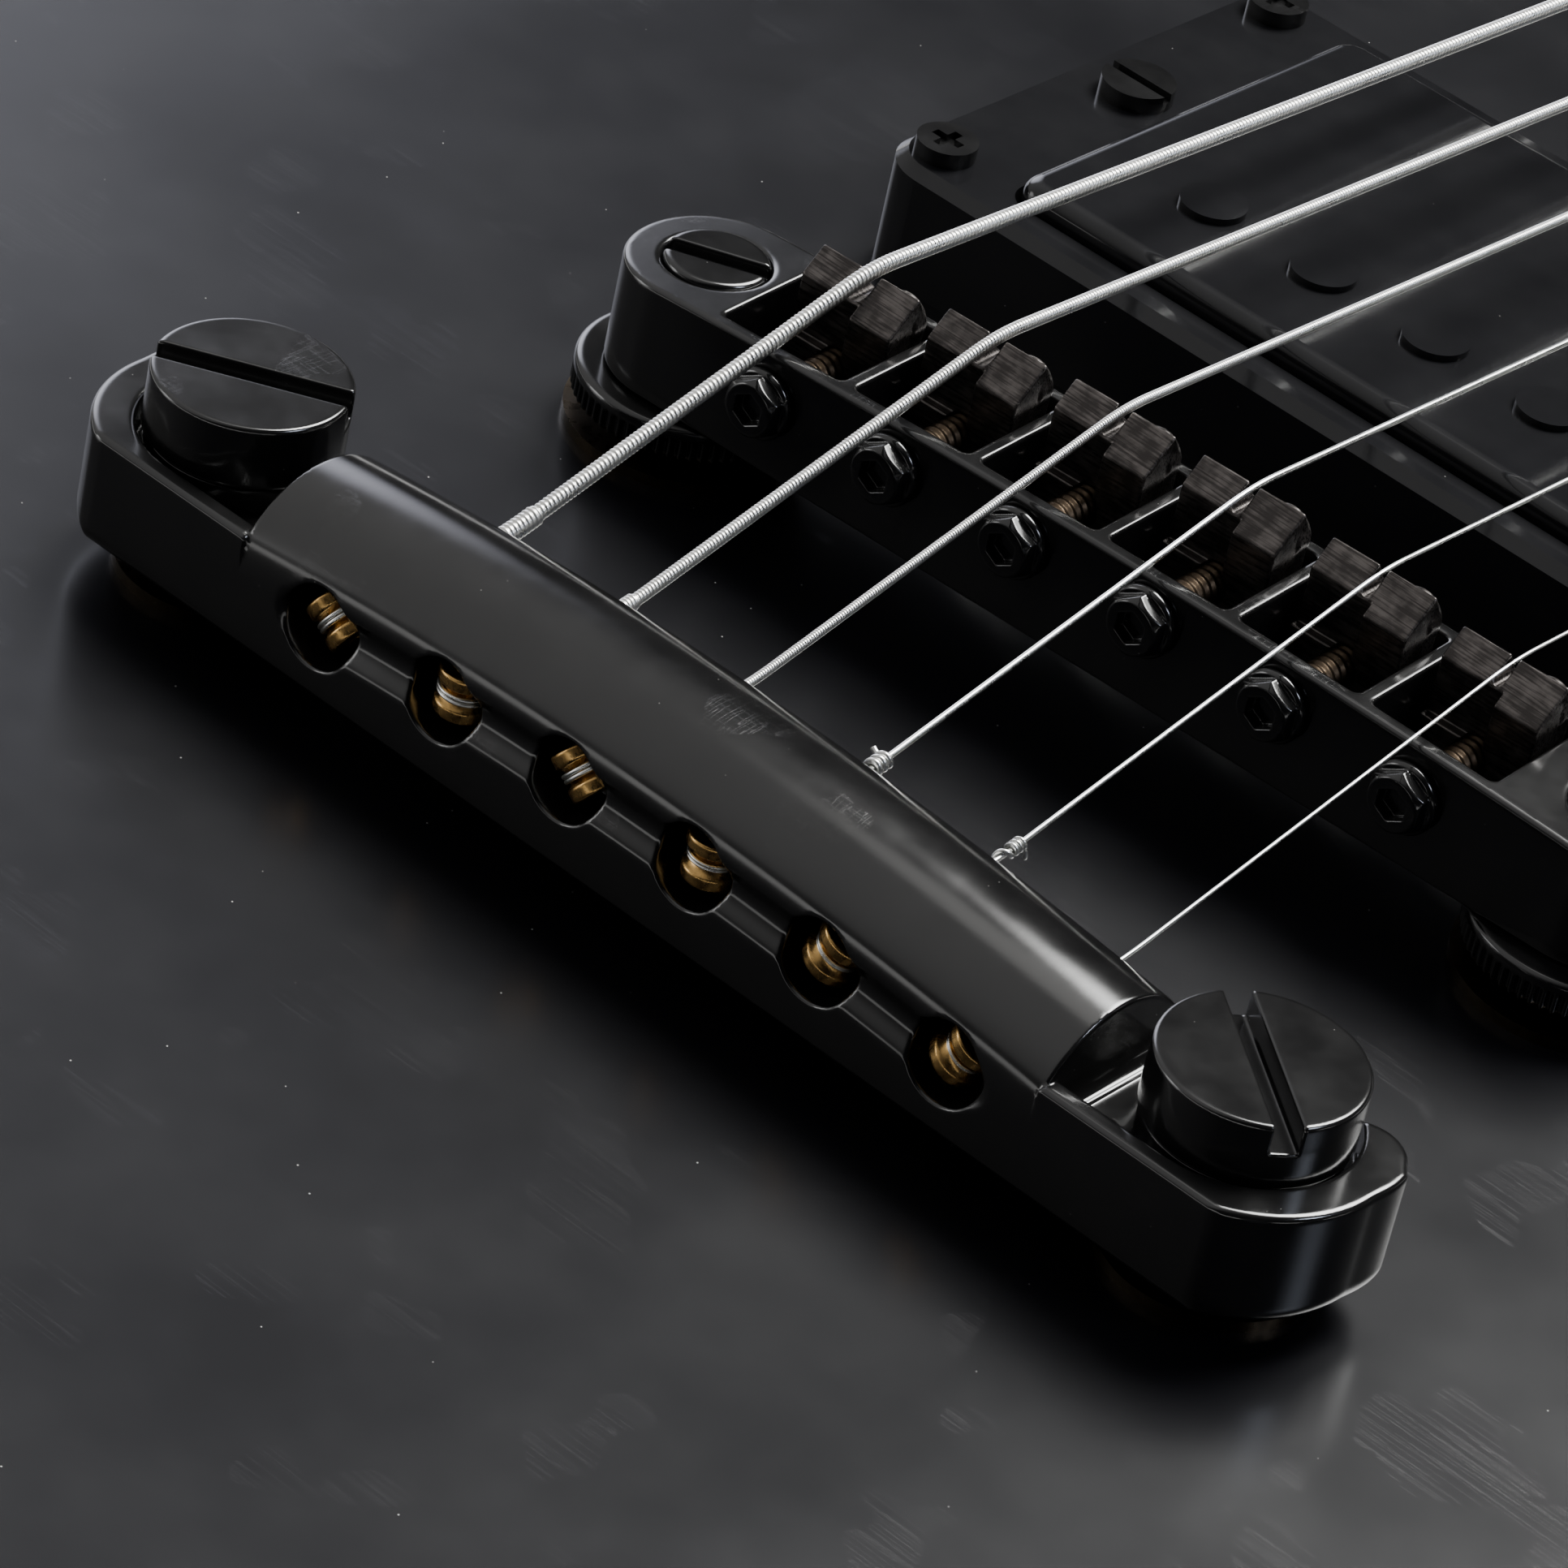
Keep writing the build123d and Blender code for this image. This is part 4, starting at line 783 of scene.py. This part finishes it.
def make_bridge_posts():
    for side, word in ((-1, "bass"), (1, "treble")):
        place = BRIDGE @ Matrix.Translation((post_x(side), 0, 0))
        size = WHEEL_RADIUS
        piece = carved(f"thumbwheel_post_{word}", bridge_post,
                       (-size, -size, -4.0), (size, size, BRIDGE_TOP), 0.14, place)
        finish_piece(piece, PLATE, "black_hardware", f"bridge_post_{word}", f"bridge_post_{word}")


# ---- strings -------------------------------------------------------------------------
def guitar_point(frame_matrix, x, y, z):
    return np.array(GUITAR.inverted() @ (frame_matrix @ Vector((x, y, z))))


def string_corners(index):
    """Bends of a string: ball, bar mouth, saddle, nut, and the tangent to its tuner post."""
    radius = STRING_RADII[index]
    tail_x = spread(index, TAIL_PITCH)
    hole_z = HOLE_Z - arch_drop(tail_x, TAIL_ARCH)
    nut_x = spread(index, NUT_PITCH)
    nut_z = NUT_RISE - arch_drop(nut_x, STRING_ARCH) + radius
    post = JOINTS[f"tuner_post_{index + 1}_turn"]["pos_m"]
    local = HEAD.inverted() @ Vector(post)
    inner = local.x - math.copysign(3.2 + radius, local.x)
    return [guitar_point(TAIL, tail_x, BALL_Y + BALL_RADIUS - 0.3, hole_z),
            guitar_point(TAIL, tail_x, 7.8, hole_z + 0.4),
            guitar_point(BRIDGE, spread(index, SADDLE_PITCH), RIDGE_Y, ridge_z(index) + radius),
            guitar_point(NECK, nut_x, SCALE_LENGTH, nut_z),
            guitar_point(NECK, nut_x, SCALE_LENGTH + NUT_LENGTH, nut_z),
            guitar_point(HEAD, inner, local.y - 2.0, 8.0)]


def rounded_path(corners, bend):
    """A function from distance to point along straight runs joined by curves, its length, and
    the distances of the corners."""
    points = [corners[0]]
    marks = []
    for before, corner, after in zip(corners, corners[1:], corners[2:]):
        into, out = corner - before, after - corner
        into, out = into / np.linalg.norm(into), out / np.linalg.norm(out)
        reach = min(bend, np.linalg.norm(corner - before) / 2, np.linalg.norm(after - corner) / 2)
        start, end = corner - into * reach, corner + out * reach
        for share in np.linspace(0, 1, 15):
            points.append((1 - share) ** 2 * start + 2 * share * (1 - share) * corner + share ** 2 * end)
        marks.append(len(points) - 8)
    points.append(corners[-1])
    points = np.array(points)
    along = np.concatenate([[0], np.cumsum(np.linalg.norm(np.diff(points, axis=0), axis=1))])

    def path(s):
        return np.array([np.interp(s, along, points[:, axis]) for axis in range(3)])

    return path, along[-1], [along[mark] for mark in marks]


WINDING_END = 175.0
WRAP_WIRES = (0.36, 0.28, 0.2)
LAP_ENDS = (4.6, 2.5, 0.0)
MOUTH_RUN = 10.9


def winding_radius(index):
    """Size of a wound string at a distance and angle: a helix of round wrap wire on a core,
    doubled over where the wrap starts behind the bar."""
    radius, wire = STRING_RADII[index], WRAP_WIRES[index]
    lap = MOUTH_RUN + LAP_ENDS[index]

    def size(s, angles):
        if s > WINDING_END:
            return np.full(len(angles), radius - 0.03)
        place = (s / wire + angles / (2 * math.pi)) % 1.0 - 0.5
        bulge = np.sqrt(np.maximum(0.25 - place ** 2, 0.0)) * wire
        swell = 0.14 * np.clip((lap - s) / 0.25, 0, 1) if LAP_ENDS[index] else 0.0
        return radius - wire / 2 + bulge * 0.9 + swell

    return size


def string_rings(total, marks, fine_end, fine_step):
    """Distances of a string's rings: close together where the windings or bends are."""
    fine = np.arange(0, fine_end, fine_step)
    coarse = np.arange(fine_end, total, 7.0)
    bends = [np.linspace(mark - 3, mark + 3, 13) for mark in marks if mark > fine_end]
    return np.unique(np.concatenate([fine, coarse, *bends, [total]]))


def post_turns(index, radius):
    """Turns of string round its tuner post, as a path of their own."""
    local = HEAD.inverted() @ Vector(JOINTS[f"tuner_post_{index + 1}_turn"]["pos_m"])
    ring = 3.15 + radius
    side = math.copysign(1, local.x)
    turns = 3

    def path(s):
        angle = s / ring
        drop = 8.0 - 2.1 * radius * angle / (2 * math.pi)
        return guitar_point(HEAD, local.x - side * ring * math.cos(angle),
                            local.y + ring * math.sin(angle), drop)

    return path, turns * 2 * math.pi * ring


def round_section(radius):
    """The size of a plain round wire, for tube()."""
    return lambda s, angles: np.full(len(angles), radius)


def make_string(index):
    radius = STRING_RADII[index]
    path, total, marks = rounded_path(string_corners(index), STRING_BEND)
    if index < WOUND_COUNT:
        rings = string_rings(total, marks, WINDING_END, WRAP_WIRES[index] / 7)
        run = tube_piece(f"run_{index}", path, winding_radius(index), rings, 18, GUITAR)
    else:
        rings = string_rings(total, marks, 70.0, 0.3)
        run = tube_piece(f"run_{index}", path, round_section(radius), rings, 14, GUITAR)
    wrap_path, wrap_length = post_turns(index, radius)
    wraps = tube_piece(f"wraps_{index}", wrap_path, round_section(radius * 0.97),
                       np.arange(0, wrap_length, 0.5), 10, GUITAR)
    return [run, wraps] + lock_twist(index, path)


TWISTED = {3: (1.5, 3), 4: (2.6, 3)}


def lock_twist(index, path):
    """The string's own tail twisted along it and locked in tight turns, with a cut end."""
    if index not in TWISTED:
        return []
    twist_run, lock_turns = TWISTED[index]
    radius = STRING_RADII[index]
    start = MOUTH_RUN - 0.6
    lock_start = start + 0.6 + twist_run
    lock_run = lock_turns * 2.15 * radius
    frame_tangent = path(start + 1) - path(start)
    frame_tangent /= np.linalg.norm(frame_tangent)
    side = np.cross(frame_tangent, (0.0, 0.0, 1.0))
    side /= np.linalg.norm(side)
    other = np.cross(frame_tangent, side)
    twist_pitch = 1.5
    ring = 2.02 * radius
    samples = []
    for s in np.linspace(start, lock_start, 60):
        samples.append((s, 2 * math.pi * (s - start) / twist_pitch, ring))
    angle = samples[-1][1]
    for share in np.linspace(0, 1, 90)[1:]:
        samples.append((lock_start + share * lock_run, angle + share * lock_turns * 2 * math.pi, ring * 1.04))
    last_s, last_angle, _ = samples[-1]
    for share in np.linspace(0, 1, 10)[1:]:
        samples.append((last_s + 0.25 * share, last_angle + 0.5 * share, ring + 0.9 * share))
    points = np.array([path(s) + (math.cos(a) * side + math.sin(a) * other) * r for s, a, r in samples])
    along = np.concatenate([[0], np.cumsum(np.linalg.norm(np.diff(points, axis=0), axis=1))])

    def helix(s):
        return np.array([np.interp(s, along, points[:, axis]) for axis in range(3)])

    return [tube_piece(f"twist_{index}", helix, round_section(radius * 0.98),
                       np.arange(0, along[-1], 0.06), 10, GUITAR)]


def make_strings():
    wound = [part for index in strings[:WOUND_COUNT] for part in make_string(index)]
    plain = [part for index in strings[WOUND_COUNT:] for part in make_string(index)]
    finish_piece(joined("strings_wound", wound), NICKEL, "string_nickel", "guitar", "wound_strings")
    finish_piece(joined("strings_plain", plain), PLAIN_STEEL, "string_nickel", "guitar", "plain_strings")


# ---- ball ends -----------------------------------------------------------------------
def spool(x, y, z):
    """Turned brass ball end: two flanges and a deep round groove."""
    reach = length(x, y)
    body = both(reach - BALL_RADIUS, abs(z) - 1.6, 0.22)
    groove = length(reach - BALL_RADIUS - 0.25, z) - 0.75
    return less(less(body, groove, 0.12), reach - 0.6, 0.1)


def make_ball_ends():
    balls, loops = [], []
    for index in strings:
        x = spread(index, TAIL_PITCH)
        z = HOLE_Z - arch_drop(x, TAIL_ARCH)
        lean = Matrix.Rotation(math.radians(BALL_LEANS[index]), 4, "Y")
        place = TAIL @ Matrix.Translation((x, BALL_Y, z)) @ lean
        size = BALL_RADIUS
        balls.append(carved(f"ball_{index}", spool, (-size, -size, -1.6), (size, size, 1.6), 0.1, place))
        wire = min(STRING_RADII[index], 0.3)
        for shift in (-wire * 0.55, wire * 0.55):
            ring = BALL_RADIUS - 0.5 + wire

            def loop(s, ring=ring, shift=shift):
                return np.array((ring * math.cos(s), ring * math.sin(s), shift))

            loops.append(tube_piece(f"loop_{index}_{shift:.2f}", loop, round_section(wire * 0.5),
                                    np.linspace(0, 2 * math.pi, 60), 10, place))
    finish_piece(joined("brass_ball_ends", balls), BRASS, "ball_brass", "guitar", "ball_ends")
    finish_piece(joined("ball_end_loops", loops), PLAIN_STEEL, "string_nickel", "guitar")


make_tailpiece()
make_caps()
make_bridge_frame()
make_saddles()
make_bridge_posts()
make_strings()
make_ball_ends()

# ---- materials of the CAD pieces -----------------------------------------------------
CAD_LOOKS = {
    LACQUER: ("body_bass_half", "body_treble_half", "neck"),
    PLATE: ("tailpiece_studs", "tuner_housings", "wood_screws", "strap_buttons", "pickup_screws"),
    BRONZE: ("stud_bushings",),
    RING_PLASTIC: ("pickup_rings", "cover_plates", "bridge_pickup", "neck_pickup"),
    SATIN_PLASTIC: ("nut", "selector_switch", "toggle_lever",
                    "bridge_volume_knob", "neck_volume_knob", "tone_knob"),
    STEEL: ("truss_rod", "potentiometers", "output_jack", "bridge_pickup_springs", "neck_pickup_springs"),
    WOOD: ("fingerboard",),
    FRET_SILVER: ("frets",),
    PEARL: ("fret_markers",),
    LEAD: ("wiring",),
}


def dress(node, look):
    piece = frame["nodes"].get(node)
    if piece is None:
        return
    piece.data.materials.clear()
    piece.data.materials.append(look)


for look, nodes in CAD_LOOKS.items():
    for node in nodes:
        dress(node, look)
for number in range(1, 7):
    dress(f"tuner_post_{number}", PLATE)
    dress(f"tuner_button_{number}", PLATE)


# ---- studio --------------------------------------------------------------------------
def make_floor():
    size = 60.0
    corners = [(-size, -size, -0.0002), (size, -size, -0.0002), (size, size, -0.0002), (-size, size, -0.0002)]
    look = Look("pale_floor", (0.62, 0.61, 0.6), 0.7)
    look.colour(look.mixed(look.noise(3.0, 5.0), (0.6, 0.59, 0.58), (0.64, 0.635, 0.625)))
    floor = to_object("pale_floor", np.array(corners), np.array([[0, 1, 2, 3]]), Matrix.Identity(4))
    floor.data.materials.append(look.material)


def heading(azimuth, elevation):
    """Unit vector in the guitar's frame. Azimuth 0 is toward the headstock and 90 to the treble side."""
    a, e = math.radians(azimuth), math.radians(elevation)
    local = Vector((math.sin(a) * math.cos(e), math.cos(a) * math.cos(e), math.sin(e)))
    return (GUITAR.to_3x3() @ local).normalized()


AMBIENT = (0.012, 0.012, 0.013)
SOFT_GLOWS = (
    # azimuth, elevation, half width in degrees, strength, colour
    (-58, 18, 22, 4.0, (0.96, 0.98, 1.12)),
    (-110, 45, 68, 0.5, (1.0, 0.99, 0.98)),
    (-52, 71, 13, 1.0, (1.0, 0.99, 0.96)),
    (2, 55, 22, 34.0, (1.0, 1.0, 0.98)),
    (76, 42, 10, 11.0, (0.86, 0.93, 1.1)),
    (-126, 10, 15, 3.0, (1.0, 1.0, 1.0)),
)


def make_world():
    """A dark studio lit by a few broad soft glows. Only the plain backdrop shows to the camera."""
    world = bpy.data.worlds.new("studio")
    bpy.context.scene.world = world
    world.use_nodes = True
    nodes, links = world.node_tree.nodes, world.node_tree.links
    nodes.clear()
    direction = nodes.new("ShaderNodeTexCoord").outputs["Generated"]
    total = None
    for azimuth, elevation, width, strength, colour in SOFT_GLOWS:
        dot = nodes.new("ShaderNodeVectorMath")
        dot.operation = "DOT_PRODUCT"
        links.new(direction, dot.inputs[0])
        dot.inputs[1].default_value = heading(azimuth, elevation)
        shape = nodes.new("ShaderNodeMapRange")
        shape.interpolation_type = "SMOOTHERSTEP"
        shape.inputs["From Min"].default_value = math.cos(math.radians(width))
        shape.inputs["From Max"].default_value = 1.0
        shape.inputs["To Max"].default_value = strength
        links.new(dot.outputs["Value"], shape.inputs["Value"])
        tint = nodes.new("ShaderNodeVectorMath")
        tint.operation = "SCALE"
        tint.inputs[0].default_value = colour
        links.new(shape.outputs["Result"], tint.inputs["Scale"])
        if total is None:
            total = tint.outputs[0]
        else:
            plus = nodes.new("ShaderNodeVectorMath")
            links.new(total, plus.inputs[0])
            links.new(tint.outputs[0], plus.inputs[1])
            total = plus.outputs[0]
    plus = nodes.new("ShaderNodeVectorMath")
    links.new(total, plus.inputs[0])
    plus.inputs[1].default_value = AMBIENT
    lit = nodes.new("ShaderNodeBackground")
    links.new(plus.outputs[0], lit.inputs["Color"])
    plain = nodes.new("ShaderNodeBackground")
    plain.inputs["Color"].default_value = (0.45, 0.45, 0.46, 1)
    seen = nodes.new("ShaderNodeLightPath").outputs["Is Camera Ray"]
    mix = nodes.new("ShaderNodeMixShader")
    links.new(seen, mix.inputs[0])
    links.new(lit.outputs[0], mix.inputs[1])
    links.new(plain.outputs[0], mix.inputs[2])
    output = nodes.new("ShaderNodeOutputWorld")
    links.new(mix.outputs[0], output.inputs[0])


make_floor()
make_world()
